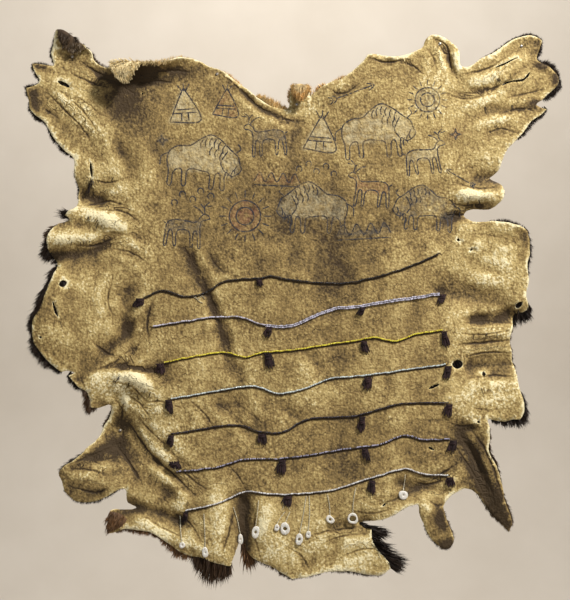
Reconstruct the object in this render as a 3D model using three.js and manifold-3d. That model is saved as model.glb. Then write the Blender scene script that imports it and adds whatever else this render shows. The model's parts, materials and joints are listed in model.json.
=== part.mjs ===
// Painted hide robe: one whole tanned hide with its hair left on, nailed to a wall with its
// bare side to the room, sewn with seven strings of beads, wool tufts and shell pendants.
// Millimetres, +Z up. The wall is the plane y = 0 and the room lies on the -Y side.
// The origin is the nail through the neck, where it enters the wall.

import * as THREE from 'three';
import { mergeVertices } from 'three/addons/utils/BufferGeometryUtils.js';
import Module from 'manifold-3d';

const wasm = await Module();
wasm.setup();

// Driving sizes
const LEATHER = 2.2;          // thickness of the tanned skin
const SEAM = 0.3;             // gap between pieces that touch
const COAT = 8;               // depth of the hair coat well inside the edge
const COAT_EDGE = 3.4;        // its depth at the skin's edge
const COAT_TIP = 1;           // its depth where the longest hairs end
const COAT_TAPER = 42;        // width of the band in which it thins
const PIN_STAND = 10.2;       // from the wall to the middle of the skin at a nail
const PIN_PULL = 40;          // how far a nail draws the skin in around it
const EDGE_STEP = 15.5;       // spacing of points along the skin's edge
const FIELD_STEP = 34;        // spacing of points well inside it
const RAGGED = 1.3;           // how far the knife wandered along the edge
const BEADS = 1.4;            // radius of a string of beads
const PIN_HOLE = 1.9;         // radius of the hole that a nail makes
const HEAD = 3.2;             // radius of a nail's head
const SHANK = 1.1;            // radius of a nail's shank
const NAIL_DEPTH = 14;        // how far a nail runs into the wall

// The skin's edge laid out flat, clockwise from the tip of the left fore leg.
// Each stretch runs through its rows of x and z and ends where the next one starts.
const EDGE = [
  { name: 'left fore tip, turned over forwards', rows: [
    [-486, 144], [-466, 162], [-450, 166], [-434, 162], [-418, 154], [-416, 132], [-412, 106]] },
  { name: 'left fore leg, upper side', rows: [
    [-412, 106], [-412, 92], [-402, 80], [-386, 72], [-370, 74]] },
  { name: 'shoulder flap, curled forwards', rows: [
    [-370, 74], [-372, 96], [-366, 120], [-356, 138], [-344, 146], [-334, 140], [-328, 122],
    [-322, 108], [-312, 101], [-298, 99], [-284, 100], [-254, 100], [-228, 96], [-205, 89],
    [-192, 85], [-180, 75]] },
  { name: 'left slope of the neck', rows: [
    [-180, 75], [-166, 74], [-150, 68], [-134, 56], [-114, 38], [-94, 24], [-78, 10], [-62, 0],
    [-44, -8], [-16, -10]] },
  { name: 'neck tab, turned over forwards', rows: [
    [-16, -10], [-14, 10], [-14, 38], [-10, 70], [0, 86], [12, 86], [22, 70], [26, 38], [24, 12]] },
  { name: 'right slope of the neck', rows: [
    [24, 12], [32, 18], [42, 30], [52, 36], [66, 44], [82, 46], [96, 54], [108, 64], [122, 74],
    [134, 86], [142, 98]] },
  { name: 'right shoulder lip', rows: [
    [142, 98], [162, 98], [186, 96], [206, 94], [222, 100], [238, 106], [254, 114]] },
  { name: 'right shoulder point', rows: [
    [254, 114], [256, 130], [264, 138], [272, 140], [288, 138], [302, 130], [316, 122], [326, 110],
    [328, 94], [328, 74]] },
  { name: 'right fore leg, upper side', rows: [
    [328, 74], [338, 72], [346, 74], [358, 82], [366, 86], [376, 96], [390, 100], [406, 110],
    [422, 122], [436, 130], [452, 136], [468, 140]] },
  { name: 'right fore leg, end', rows: [
    [468, 140], [482, 136], [492, 128], [488, 114], [484, 100], [480, 86]] },
  { name: 'right fore leg, dew flap', rows: [
    [480, 86], [500, 76], [512, 70], [522, 58], [526, 46], [522, 34], [510, 24], [498, 14], [492, 6]] },
  { name: 'right fore leg, rip', rows: [[492, 6], [484, 2], [474, -2], [486, -7], [500, -12]] },
  { name: 'right fore leg, lower side', rows: [
    [500, -12], [492, -22], [478, -30], [468, -34], [460, -46], [452, -62], [438, -74], [422, -90],
    [412, -106], [408, -120], [404, -134], [394, -142]] },
  { name: 'right shoulder tuck', rows: [[394, -142], [384, -150], [396, -158], [408, -162]] },
  { name: 'right ribs', rows: [
    [408, -162], [414, -174], [412, -190], [400, -204], [386, -211], [362, -212], [338, -214]] },
  { name: 'right rib tuck', rows: [[338, -214], [332, -223], [340, -233], [354, -240]] },
  { name: 'right flank, upper side', rows: [
    [354, -240], [376, -238], [398, -236], [422, -240], [442, -244], [460, -254]] },
  { name: 'right flank', rows: [
    [460, -254], [464, -274], [466, -294], [462, -314], [458, -328], [462, -346], [462, -360],
    [457, -378], [455, -388], [459, -400], [461, -415]] },
  { name: 'right flank corner', rows: [[461, -415], [448, -418], [432, -420]] },
  { name: 'right belly', rows: [
    [432, -420], [430, -438], [428, -460], [424, -478], [428, -494], [428, -510], [432, -528],
    [436, -542], [440, -560], [442, -574], [448, -588], [450, -606], [450, -620], [442, -630]] },
  { name: 'right belly, lower side', rows: [
    [442, -630], [430, -630], [420, -636], [402, -634], [386, -630], [374, -630]] },
  { name: 'right hind leg, outer side', rows: [
    [374, -630], [382, -642], [380, -658], [380, -676], [376, -690], [386, -706], [394, -722],
    [400, -740], [404, -758], [408, -778], [412, -796], [418, -812], [424, -830], [424, -842], [418, -852]] },
  { name: 'right hind leg, inner side', rows: [
    [418, -852], [408, -842], [396, -830], [384, -816], [374, -802], [366, -790], [358, -778],
    [344, -768], [332, -764]] },
  { name: 'right crotch', rows: [
    [332, -764], [320, -772], [306, -776], [298, -786], [294, -798], [286, -802]] },
  { name: 'hanging strip', rows: [
    [286, -802], [292, -818], [298, -834], [304, -854], [310, -876], [298, -886], [288, -888],
    [278, -878], [266, -868], [258, -852], [250, -836], [244, -822], [240, -808], [242, -796]] },
  { name: 'right hem', rows: [
    [242, -796], [226, -800], [210, -808], [196, -816], [182, -824], [166, -829], [146, -831], [124, -831]] },
  { name: 'right hem tuck', rows: [[124, -831], [116, -836], [126, -842], [148, -848]] },
  { name: 'rump hem, right end', rows: [
    [148, -848], [146, -862], [152, -878], [166, -894], [180, -910], [182, -922], [174, -934]] },
  { name: 'rump hem', rows: [
    [174, -934], [158, -938], [138, -934], [116, -930], [90, -928], [66, -928], [50, -932],
    [30, -938], [10, -940], [0, -946], [-18, -938], [-34, -928], [-50, -918], [-70, -912],
    [-86, -904], [-94, -896], [-100, -886]] },
  { name: 'tail split', rows: [
    [-100, -886], [-104, -870], [-110, -858], [-116, -870], [-122, -886], [-126, -902], [-132, -920]] },
  { name: 'left hem', rows: [
    [-132, -920], [-150, -916], [-168, -910], [-186, -902], [-206, -898], [-226, -892], [-240, -884],
    [-254, -874], [-268, -864], [-280, -856], [-298, -850], [-318, -848], [-338, -846], [-366, -856]] },
  { name: 'left hind end, rolled forwards', rows: [
    [-366, -856], [-394, -850], [-414, -836], [-424, -820], [-408, -810], [-384, -810], [-364, -808]] },
  { name: 'left hind end, upper side', rows: [[-364, -808], [-350, -811], [-334, -812], [-316, -808]] },
  { name: 'left hind tuck', rows: [
    [-316, -808], [-320, -802], [-334, -800], [-340, -791], [-340, -778], [-338, -766]] },
  { name: 'left hind leg, lower side', rows: [
    [-338, -766], [-346, -764], [-358, -770], [-372, -780], [-386, -788], [-406, -794], [-430, -794],
    [-450, -786], [-462, -770], [-464, -754], [-474, -738]] },
  { name: 'left hind leg, upper side', rows: [
    [-474, -738], [-468, -728], [-454, -718], [-438, -708], [-426, -700], [-418, -688], [-406, -678],
    [-396, -668], [-390, -660]] },
  { name: 'left lower flank', rows: [
    [-390, -660], [-392, -650], [-386, -640], [-376, -632], [-372, -618], [-368, -608], [-368, -600]] },
  { name: 'left flank flap', rows: [
    [-368, -600], [-386, -606], [-404, -612], [-412, -610], [-414, -590], [-414, -574]] },
  { name: 'left flank point', rows: [[-414, -574], [-428, -572], [-436, -566], [-446, -554], [-454, -544]] },
  { name: 'left belly rip', rows: [[-454, -544], [-438, -538], [-454, -534], [-468, -536]] },
  { name: 'left belly', rows: [
    [-468, -536], [-482, -528], [-494, -516], [-506, -498], [-514, -488], [-522, -474], [-524, -454],
    [-524, -436], [-520, -424], [-510, -412], [-502, -394], [-496, -374], [-488, -356], [-480, -338],
    [-474, -326]] },
  { name: 'left rib fold', rows: [
    [-474, -326], [-480, -314], [-490, -306], [-496, -290], [-496, -270], [-488, -254], [-478, -244],
    [-462, -238], [-448, -234]] },
  { name: 'left rib tuck', rows: [
    [-448, -234], [-458, -228], [-462, -220], [-454, -214], [-438, -212], [-434, -204], [-440, -192],
    [-436, -178], [-434, -168]] },
  { name: 'left shoulder', rows: [
    [-434, -168], [-442, -156], [-446, -138], [-444, -122], [-442, -112], [-450, -104], [-464, -96],
    [-474, -84], [-486, -70], [-492, -56], [-502, -42], [-510, -32], [-524, -24], [-532, -14],
    [-536, 2], [-538, 12]] },
  { name: 'left fore leg, dew flap', rows: [[-538, 12], [-540, 24], [-542, 34], [-528, 34], [-512, 40]] },
  { name: 'left fore leg, spur', rows: [
    [-512, 40], [-516, 48], [-522, 58], [-528, 70], [-530, 80], [-518, 78], [-502, 78], [-486, 74]] },
  { name: 'left fore leg, strip', rows: [
    [-486, 74], [-492, 86], [-494, 100], [-490, 114], [-488, 130], [-486, 144]] },
];

// Ends of the hide that roll or turn over towards the room: the line they turn on, with the
// turned part on its left when looking from `from` to `to`, the radius, the whole turn, and
// how far from its start the turn takes to tighten to that radius.
const ROLLS = [
  { name: 'left fore tip', from: [-416, 106], to: [-480, 148], radius: 4.5, turn: 3.14, ease: 0 },
  { name: 'shoulder', from: [-180, 60], to: [-372, 60], radius: 21, turn: 3.14, ease: 100 },
  { name: 'neck tab', from: [28, 38], to: [-16, 38], radius: 8, turn: 3.05, ease: 0 },
  { name: 'left hind end', from: [-364, -806], to: [-368, -858], radius: 9, turn: 3.14, ease: 0 },
];

// Nails, and how far the skin stands from the wall at places between them.
const NAILS = [
  { x: 0, z: 0 },
  { x: -161, z: 61 },
  { x: -452, z: 96 },
  { x: 288, z: 122 },
  { x: 452, z: 117 },
  { x: -356, z: -657 },
];
const STANDS = [
  { x: -530, z: 10, stand: 30 }, { x: -300, z: 60, stand: 14 }, { x: -80, z: -20, stand: 15 },
  { x: 130, z: 60, stand: 17 }, { x: 390, z: 80, stand: 16 }, { x: 520, z: 40, stand: 26 },
  { x: -440, z: -150, stand: 38 }, { x: -240, z: -150, stand: 26 }, { x: 0, z: -160, stand: 20 },
  { x: 240, z: -150, stand: 22 }, { x: 410, z: -170, stand: 32 }, { x: -480, z: -270, stand: 46 },
  { x: -510, z: -450, stand: 60 }, { x: -440, z: -580, stand: 48 }, { x: -250, z: -400, stand: 34 },
  { x: 0, z: -400, stand: 32 }, { x: 240, z: -400, stand: 32 }, { x: 450, z: -300, stand: 38 },
  { x: 440, z: -500, stand: 44 }, { x: 440, z: -620, stand: 50 }, { x: -440, z: -750, stand: 50 },
  { x: -200, z: -640, stand: 40 }, { x: 60, z: -640, stand: 44 }, { x: 280, z: -640, stand: 42 },
  { x: 410, z: -810, stand: 60 }, { x: -340, z: -830, stand: 60 }, { x: -160, z: -890, stand: 64 },
  { x: 20, z: -920, stand: 70 }, { x: 160, z: -900, stand: 66 }, { x: 290, z: -860, stand: 62 },
];
const STAND_SPREAD = 105;     // how far each of those places has its say

// Folds: the line each follows, how far it rises towards the room (or sinks, below zero),
// and the half width of its rounded section.
const FOLDS = [
  { name: 'left shoulder tuck', path: [[-446, -182], [-390, -196]], rise: -22, half: 16 },
  { name: 'left rib ridge', path: [[-450, -220], [-378, -230]], rise: 14, half: 15 },
  { name: 'left rib crease', path: [[-470, -236], [-404, -254]], rise: -15, half: 10 },
  { name: 'left rib roll', path: [[-482, -272], [-404, -272]], rise: 12, half: 18 },
  { name: 'left rib gully', path: [[-498, -312], [-450, -306], [-390, -288]], rise: -24, half: 12 },
  { name: 'left belly swell', path: [[-486, -350], [-496, -454]], rise: 6, half: 20 },
  { name: 'left belly pucker', path: [[-398, -330], [-370, -320]], rise: -6, half: 8 },
  { name: 'left belly crease', path: [[-338, -378], [-346, -400], [-334, -474]], rise: -8, half: 8 },
  { name: 'left flank crease', path: [[-336, -450], [-378, -498], [-430, -550]], rise: -13, half: 11 },
  { name: 'left flank branch', path: [[-398, -486], [-364, -484]], rise: -6, half: 8 },
  { name: 'left flank ridge', path: [[-412, -556], [-324, -556]], rise: 14, half: 15 },
  { name: 'first string crease', path: [[-358, -534], [-274, -536]], rise: -9, half: 8 },
  { name: 'left flap crease', path: [[-378, -562], [-324, -584]], rise: -14, half: 10 },
  { name: 'left knee tuck', path: [[-394, -672], [-350, -664]], rise: -12, half: 11 },
  { name: 'left knee crease', path: [[-356, -694], [-300, -736], [-258, -782]], rise: -16, half: 10 },
  { name: 'left knee ridge', path: [[-326, -708], [-226, -794]], rise: 9, half: 11 },
  { name: 'left hip crease', path: [[-312, -698], [-258, -742], [-202, -788]], rise: -11, half: 9 },
  { name: 'left hind swell', path: [[-450, -738], [-364, -756]], rise: 10, half: 16 },
  { name: 'left hind gully', path: [[-342, -800], [-294, -812], [-230, -836]], rise: -18, half: 11 },
  { name: 'left hem ridge', path: [[-304, -834], [-194, -880]], rise: 10, half: 16 },
  { name: 'tail gully', path: [[-108, -790], [-108, -890]], rise: -20, half: 12 },
  { name: 'tail ridge, left', path: [[-164, -794], [-152, -890]], rise: 8, half: 17 },
  { name: 'tail ridge, right', path: [[-66, -804], [-42, -894]], rise: 8, half: 18 },
  { name: 'right hem gully', path: [[82, -840], [140, -838]], rise: -15, half: 11 },
  { name: 'rump crease', path: [[36, -906], [96, -874]], rise: -6, half: 9 },
  { name: 'strip gully', path: [[212, -764], [270, -766]], rise: -15, half: 11 },
  { name: 'strip swell', path: [[262, -800], [290, -872]], rise: 7, half: 13 },
  { name: 'right hind ridge', path: [[372, -650], [392, -734], [412, -818]], rise: 12, half: 14 },
  { name: 'right hip crease', path: [[332, -654], [364, -706]], rise: -10, half: 10 },
  { name: 'right shoulder gully', path: [[358, -150], [410, -151]], rise: -20, half: 11 },
  { name: 'right rib swell', path: [[346, -182], [406, -180]], rise: 10, half: 16 },
  { name: 'right rib gully', path: [[306, -236], [346, -226], [380, -224]], rise: -20, half: 11 },
  { name: 'right flank ridge', path: [[330, -244], [436, -248]], rise: 9, half: 12 },
  { name: 'right flank trough', path: [[286, -374], [416, -404]], rise: -12, half: 13 },
  { name: 'right corner gully', path: [[362, -434], [434, -429]], rise: -20, half: 11 },
  { name: 'right belly crease', path: [[356, -480], [426, -478]], rise: -10, half: 11 },
  { name: 'right belly gully', path: [[346, -526], [432, -518]], rise: -17, half: 12 },
  { name: 'right belly swell', path: [[346, -594], [440, -594]], rise: 6, half: 22 },
  { name: 'long crease', rise: -5, half: 11,
    path: [[-224, -304], [-184, -374], [-150, -454], [-142, -518], [-124, -604]] },
  { name: 'lap crease, left', path: [[-164, -584], [-78, -644]], rise: -4, half: 10 },
  { name: 'lap crease, middle', path: [[-64, -584], [6, -634]], rise: -3, half: 10 },
  { name: 'middle sag', path: [[66, -294], [96, -754]], rise: -4, half: 26 },
  { name: 'right sag', path: [[206, -294], [190, -734]], rise: 4, half: 28 },
  { name: 'shoulder point groove', path: [[304, 120], [312, 86], [326, 50]], rise: -8, half: 9 },
  { name: 'shoulder point ridge', path: [[322, 104], [330, 60]], rise: 7, half: 10 },
  { name: 'shoulder point tuck', path: [[316, 44], [344, 32]], rise: -7, half: 10 },
  { name: 'hollow under the roll', path: [[-354, 38], [-274, 36], [-184, 50]], rise: -7, half: 13 },
  { name: 'left fore crease', path: [[-436, 100], [-430, 74], [-390, 60]], rise: -8, half: 10 },
  { name: 'right neck crease', path: [[190, 74], [232, 62]], rise: -6, half: 9 },
  { name: 'left fore groove', path: [[-504, -2], [-404, -104]], rise: -5, half: 11 },
  { name: 'left fore swell', path: [[-474, 18], [-384, -64]], rise: 5, half: 16 },
];

// Holes and rips right through the skin: the line each follows and how wide it gapes.
const RIPS = [
  { name: 'left belly hole', path: [[-467, -363], [-461, -361]], width: 14 },
  { name: 'left belly slit', path: [[-483, -399], [-474, -426]], width: 5.5 },
  { name: 'left belly dot', path: [[-509, -468], [-507, -468]], width: 5 },
  { name: 'left shoulder slit', path: [[-413, -121], [-409, -148]], width: 5.5 },
  { name: 'left fore slit', path: [[-478, 43], [-458, 33]], width: 8 },
  { name: 'right fore slit', path: [[400, 73], [444, 94]], width: 4.5 },
  { name: 'right fore cut', path: [[412, 38], [436, 46], [456, 48], [467, 62]], width: 5 },
  { name: 'right flank hole', path: [[321, -274], [323, -274]], width: 7 },
  { name: 'right flank dot', path: [[346, -295], [350, -293]], width: 4.5 },
  { name: 'right corner hole', path: [[440, -407], [446, -400]], width: 11 },
  { name: 'right belly hole', path: [[316, -522], [324, -522]], width: 20 },
  { name: 'right belly dot', path: [[371, -542], [373, -542]], width: 9 },
  { name: 'right belly slit', path: [[264, -570], [282, -562]], width: 5 },
  { name: 'right hip dot', path: [[359, -636], [361, -636]], width: 5 },
  { name: 'left neck dot', path: [[-311, 20], [-309, 20]], width: 5 },
  { name: 'right thigh slit', path: [[262, -687], [271, -691]], width: 5 },
  { name: 'rump hole', path: [[170, -801], [174, -797]], width: 5 },
];

// Tufts of long hair past the edge, clockwise from one place on it to the next,
// and how far their tips lie from their roots.
const TUFTS_OF_HAIR = [
  { from: [-90, 22], to: [-18, -10], dx: 8, dz: 24 },
  { from: [484, 86], to: [494, 10], dx: 12, dz: 3 },
  { from: [386, -237], to: [458, -252], dx: 4, dz: 12 },
  { from: [461, -402], to: [432, -440], dx: 14, dz: -34 },
  { from: [444, -578], to: [388, -630], dx: 16, dz: -16 },
  { from: [146, -858], to: [182, -922], dx: 66, dz: -22 },
  { from: [174, -934], to: [60, -929], dx: 2, dz: -8 },
  { from: [0, -946], to: [-90, -900], dx: -3, dz: -12 },
  { from: [-94, -896], to: [-105, -868], dx: 6, dz: -66 },
  { from: [-134, -920], to: [-200, -899], dx: 0, dz: -62 },
  { from: [-206, -898], to: [-268, -864], dx: -8, dz: -22 },
  { from: [-280, -856], to: [-340, -848], dx: 2, dz: -16 },
  { from: [-400, -611], to: [-428, -572], dx: -12, dz: -22 },
  { from: [-470, -536], to: [-482, -342], dx: -23, dz: -6 },
  { from: [-482, -312], to: [-490, -256], dx: -26, dz: 4 },
  { from: [-450, -233], to: [-456, -216], dx: -32, dz: 8 },
  { from: [-536, 4], to: [-514, 40], dx: -9, dz: 6 },
  { from: [290, -812], to: [308, -872], dx: 9, dz: -4 },
];

// Strings of beads from left to right, sewn down at their tufts and slack between them.
const STRINGS = [
  { colour: '#1c1b20', path: [[-304, -388], [-264, -374], [-228, -386], [-184, -380], [-144, -356],
    [-78, -350], [-50, -346], [6, -356], [86, -360], [156, -348], [226, -326], [282, -302]] },
  { colour: '#9a9bab', path: [[-286, -446], [-224, -436], [-164, -428], [-114, -428], [-70, -442],
    [-14, -444], [46, -420], [86, -408], [116, -406], [166, -398], [284, -380]] },
  { colour: '#d9b62c', path: [[-264, -518], [-154, -498], [-104, -508], [-70, -498], [-14, -494],
    [66, -482], [122, -474], [156, -468], [196, -476], [236, -462], [288, -454]] },
  { colour: '#a9b9c6', path: [[-250, -590], [-130, -570], [-80, -566], [-34, -580], [26, -566],
    [66, -550], [116, -546], [206, -534], [294, -522]] },
  { colour: '#1d1c24', path: [[-250, -660], [-124, -642], [-74, -656], [-24, -654], [26, -630],
    [116, -624], [206, -600], [300, -598]] },
  { colour: '#4d4c58', path: [[-238, -734], [-164, -726], [-104, -710], [-32, -708], [46, -698],
    [122, -686], [166, -680], [212, -662], [246, -670], [302, -670]] },
  { colour: '#a6a5b1', path: [[-220, -810], [-154, -794], [-104, -774], [-64, -776], [-24, -778],
    [66, -770], [132, -750], [212, -728], [246, -738], [298, -742]] },
];

// Wool tufts: the string each is tied to, its place along X, its width, drop and sideways lean,
// and how far above the string it is tied, if it isn't below.
const TUFTS = [
  { string: 1, x: -306, width: 22, drop: 22, lean: -10 }, { string: 1, x: -78, width: 14, drop: 18, lean: 2 },
  { string: 2, x: -58, width: 18, drop: 28, lean: 1 }, { string: 2, x: 128, width: 18, drop: 24, lean: 1 },
  { string: 2, x: 288, width: 18, drop: 24, lean: 2 },
  { string: 3, x: -270, width: 24, drop: 26, lean: -3 }, { string: 3, x: -58, width: 22, drop: 38, lean: 1 },
  { string: 3, x: 132, width: 20, drop: 28, lean: 2 }, { string: 3, x: 290, width: 19, drop: 38, lean: 5 },
  { string: 4, x: -256, width: 18, drop: 32, lean: 1 }, { string: 4, x: 136, width: 22, drop: 32, lean: 5 },
  { string: 4, x: 296, width: 17, drop: 32, lean: 4 },
  { string: 5, x: -252, width: 16, drop: 28, lean: 1 }, { string: 5, x: -72, width: 24, drop: 26, lean: 2 },
  { string: 5, x: 126, width: 20, drop: 36, lean: 3 }, { string: 5, x: 300, width: 20, drop: 30, lean: 1 },
  { string: 6, x: -244, width: 28, drop: 20, lean: 0, above: 22.5 },
  { string: 6, x: -32, width: 26, drop: 36, lean: 2 }, { string: 6, x: 132, width: 18, drop: 30, lean: 3 },
  { string: 6, x: 304, width: 22, drop: 28, lean: 5 },
  { string: 7, x: -222, width: 15, drop: 30, lean: 1 }, { string: 7, x: -20, width: 24, drop: 26, lean: 1 },
  { string: 7, x: 144, width: 19, drop: 34, lean: 4 }, { string: 7, x: 300, width: 20, drop: 24, lean: 2 },
];
const LOCKS = 5;              // locks of wool in a tuft
const TUFT_DEPTH = 7;         // from the hide to the front of a tuft

// Shell pendants: the thread's upper end, the middle of the shell, its size and turn,
// and the size of the hole cut in it, if it is cut to a ring.
const PENDANTS = [
  { top: [-232, -822], x: -226, z: -876, width: 12, height: 12, turn: 30, bore: 0 },
  { top: [-184, -816], x: -181, z: -890, width: 12, height: 21, turn: 0, bore: 0 },
  { top: [-126, -804], x: -112, z: -868, width: 10, height: 21, turn: 6, bore: 0 },
  { top: [-76, -790], x: -82, z: -851, width: 15, height: 24, turn: -14, bore: 5 },
  { top: [-24, -812], x: -40, z: -842, width: 10, height: 14, turn: 0, bore: 0 },
  { top: [-14, -812], x: -24, z: -844, width: 18, height: 25, turn: 12, bore: 7 },
  { top: [18, -781], x: 4, z: -865, width: 14, height: 24, turn: -5, bore: 5 },
  { top: [24, -781], x: 22, z: -856, width: 10, height: 15, turn: 0, bore: 0 },
  { top: [60, -778], x: 65, z: -827, width: 18, height: 14, turn: -35, bore: 5 },
  { top: [116, -765], x: 110, z: -826, width: 20, height: 22, turn: 0, bore: 12 },
  { top: [214, -740], x: 210, z: -780, width: 18, height: 18, turn: 0, bore: 0 },
];
const SHELL_DEPTH = 3.6;      // thickness of a cut shell
const THREAD = 0.7;           // radius of the thread it hangs on

const toRadians = THREE.MathUtils.degToRad;
const smooth = (from, to, value) => THREE.MathUtils.smoothstep(value, from, to);
const wobble = (seed) => {
  const value = Math.sin(seed * 12.9898 + 4.1414) * 43758.5453;
  return value - Math.floor(value);
};

// Flat geometry

function distanceToPath(x, z, path) {
  let best = Infinity;
  for (let i = 0; i + 1 < path.length; i += 1) {
    const [ax, az] = path[i];
    const [bx, bz] = path[i + 1];
    const span = (bx - ax) ** 2 + (bz - az) ** 2;
    const along = span > 0 ? ((x - ax) * (bx - ax) + (z - az) * (bz - az)) / span : 0;
    const share = Math.min(1, Math.max(0, along));
    best = Math.min(best, Math.hypot(x - ax - share * (bx - ax), z - az - share * (bz - az)));
  }
  return best;
}

function distanceToLoop(x, z, loop) {
  let best = Infinity;
  for (let i = 0; i < loop.length; i += 1) {
    best = Math.min(best, distanceToPath(x, z, [loop[i], loop[(i + 1) % loop.length]]));
  }
  return best;
}

function distanceToEdges(x, z, loops) {
  return loops.reduce((best, loop) => Math.min(best, distanceToLoop(x, z, loop)), Infinity);
}

function isInside(x, z, loop) {
  let inside = false;
  for (let i = 0, j = loop.length - 1; i < loop.length; j = i, i += 1) {
    const [ax, az] = loop[i];
    const [bx, bz] = loop[j];
    if ((az > z) !== (bz > z) && x < ((bx - ax) * (z - az)) / (bz - az) + ax) {
      inside = !inside;
    }
  }
  return inside;
}

function edgeLoop() {
  const loop = [];
  EDGE.forEach((stretch, index) => {
    const curve = new THREE.SplineCurve(stretch.rows.map(([x, z]) => new THREE.Vector2(x, z)));
    const steps = Math.max(2, Math.round(curve.getLength() / EDGE_STEP));
    const points = curve.getSpacedPoints(steps);
    for (let i = 0; i < steps; i += 1) {
      const tangent = points[i + 1].clone().sub(points[i]).normalize();
      const cut = i === 0 ? 0 : RAGGED * (wobble(index * 31 + i) * 2 - 1);
      loop.push([points[i].x - tangent.y * cut, points[i].y + tangent.x * cut]);
    }
  });
  return loop;
}

// A rip is an outline at half its width round its path, pinched towards the ends
function ripLoop(rip) {
  const curve = new THREE.SplineCurve(rip.path.map(([x, z]) => new THREE.Vector2(x, z)));
  const half = rip.width / 2;
  const steps = Math.max(1, Math.round(curve.getLength() / 9));
  const left = [];
  const right = [];
  for (let i = 0; i <= steps; i += 1) {
    const at = curve.getPoint(i / steps);
    const tangent = curve.getTangent(i / steps);
    const gape = steps < 3 ? half : half * (0.55 + 0.45 * Math.sin((Math.PI * i) / steps));
    left.push([at.x - tangent.y * gape, at.y + tangent.x * gape]);
    right.unshift([at.x + tangent.y * gape, at.y - tangent.x * gape]);
  }
  const first = curve.getPoint(0);
  const last = curve.getPoint(1);
  const start = curve.getTangent(0);
  const end = curve.getTangent(1);
  const tip = [last.x + end.x * half, last.y + end.y * half];
  const tail = [first.x - start.x * half, first.y - start.y * half];
  return [...left, tip, ...right, tail];
}

function pinLoop(nail) {
  const loop = [];
  for (let i = 0; i < 6; i += 1) {
    const angle = (Math.PI * i) / 3;
    loop.push([nail.x + PIN_HOLE * Math.cos(angle), nail.z + PIN_HOLE * Math.sin(angle)]);
  }
  return loop;
}

// Form of the hanging skin

function foldRise(x, z) {
  return FOLDS.reduce((sum, fold) => {
    const reach = distanceToPath(x, z, fold.path) / fold.half;
    return sum + fold.rise * Math.exp(-0.5 * reach * reach);
  }, 0);
}

function standOff(x, z) {
  let weight = 0;
  let sum = 0;
  STANDS.forEach((place) => {
    const reach = Math.hypot(x - place.x, z - place.z) / STAND_SPREAD;
    const say = Math.exp(-0.5 * reach * reach) + 1e-6;
    weight += say;
    sum += say * place.stand;
  });
  const free = sum / weight + foldRise(x, z) - PIN_STAND;
  const clear = PIN_STAND + 5 * Math.log1p(Math.exp(free / 5));
  const pinned = NAILS.reduce((most, nail) => {
    const reach = Math.hypot(x - nail.x, z - nail.z) / PIN_PULL;
    return Math.max(most, Math.exp(-0.5 * reach * reach));
  }, 0);
  return THREE.MathUtils.lerp(clear, PIN_STAND, pinned);
}

// Where a point of the flat hide hangs: turned ends wrap round their line, the rest stays put
function hang(x, z) {
  for (const roll of ROLLS) {
    const [fx, fz] = roll.from;
    const length = Math.hypot(roll.to[0] - fx, roll.to[1] - fz);
    const tx = (roll.to[0] - fx) / length;
    const tz = (roll.to[1] - fz) / length;
    const along = (x - fx) * tx + (z - fz) * tz;
    const past = (x - fx) * tz - (z - fz) * tx;
    if (past > 0 && past < 100 && along > -2 && along < length + 6) {
      const radius = roll.radius / Math.max(0.01, smooth(0, roll.ease, along));
      const turned = Math.min(past / radius, roll.turn);
      const rest = past - turned * radius;
      const out = radius * Math.sin(turned) + rest * Math.cos(turned);
      const up = radius * (1 - Math.cos(turned)) + rest * Math.sin(turned);
      const px = fx + tx * along + tz * out;
      const pz = fz + tz * along - tx * out;
      return new THREE.Vector3(px, -standOff(px, pz) - up, pz);
    }
  }
  return new THREE.Vector3(x, -standOff(x, z), z);
}

// Points of the sheet's mesh, nearer together on rolls and folds than on the open field

function pathPoints(path, step, offset) {
  const points = [];
  for (let i = 0; i + 1 < path.length; i += 1) {
    const [ax, az] = path[i];
    const [bx, bz] = path[i + 1];
    const length = Math.hypot(bx - ax, bz - az);
    const count = Math.max(1, Math.round(length / step));
    for (let k = 0; k <= count; k += 1) {
      const share = k / count;
      points.push([
        ax + (bx - ax) * share - ((bz - az) / length) * offset,
        az + (bz - az) * share + ((bx - ax) / length) * offset,
      ]);
    }
  }
  return points;
}

function fieldPoints(loops) {
  const candidates = [];
  ROLLS.forEach((roll) => {
    [-0.5, 0.3, 1.1, 1.9, 2.7, 3.5].forEach((angle) => {
      pathPoints([roll.from, roll.to], 17, -angle * roll.radius)
        .forEach((point) => candidates.push({ point, room: Math.min(6, roll.radius * 0.7) }));
    });
  });
  FOLDS.forEach((fold) => {
    const offsets = Math.abs(fold.rise) > 6 ? [0, -1.5 * fold.half, 1.5 * fold.half] : [0];
    offsets.forEach((offset) => {
      pathPoints(fold.path, 24, offset).forEach((point) => candidates.push({ point, room: 15 }));
    });
  });
  let row = 0;
  for (let z = -960; z < 180; z += FIELD_STEP * 0.866) {
    for (let x = -560 + (row % 2) * FIELD_STEP * 0.5; x < 560; x += FIELD_STEP) {
      const seed = row * 97 + x;
      const point = [x + 3 * (wobble(seed) - 0.5), z + 3 * (wobble(seed + 0.7) - 0.5)];
      candidates.push({ point, room: FIELD_STEP * 0.72 });
    }
    row += 1;
  }
  const outline = loops[0];
  const taken = [];
  candidates.forEach(({ point, room }) => {
    const [x, z] = point;
    const clear = isInside(x, z, outline)
      && distanceToLoop(x, z, outline) > Math.min(room, 11)
      && loops.slice(1).every((hole) => !isInside(x, z, hole))
      && distanceToEdges(x, z, loops.slice(1)) > Math.min(room, 7)
      && taken.every(([tx, tz]) => Math.hypot(x - tx, z - tz) > room);
    if (clear) {
      taken.push(point);
    }
  });
  return taken;
}

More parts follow.
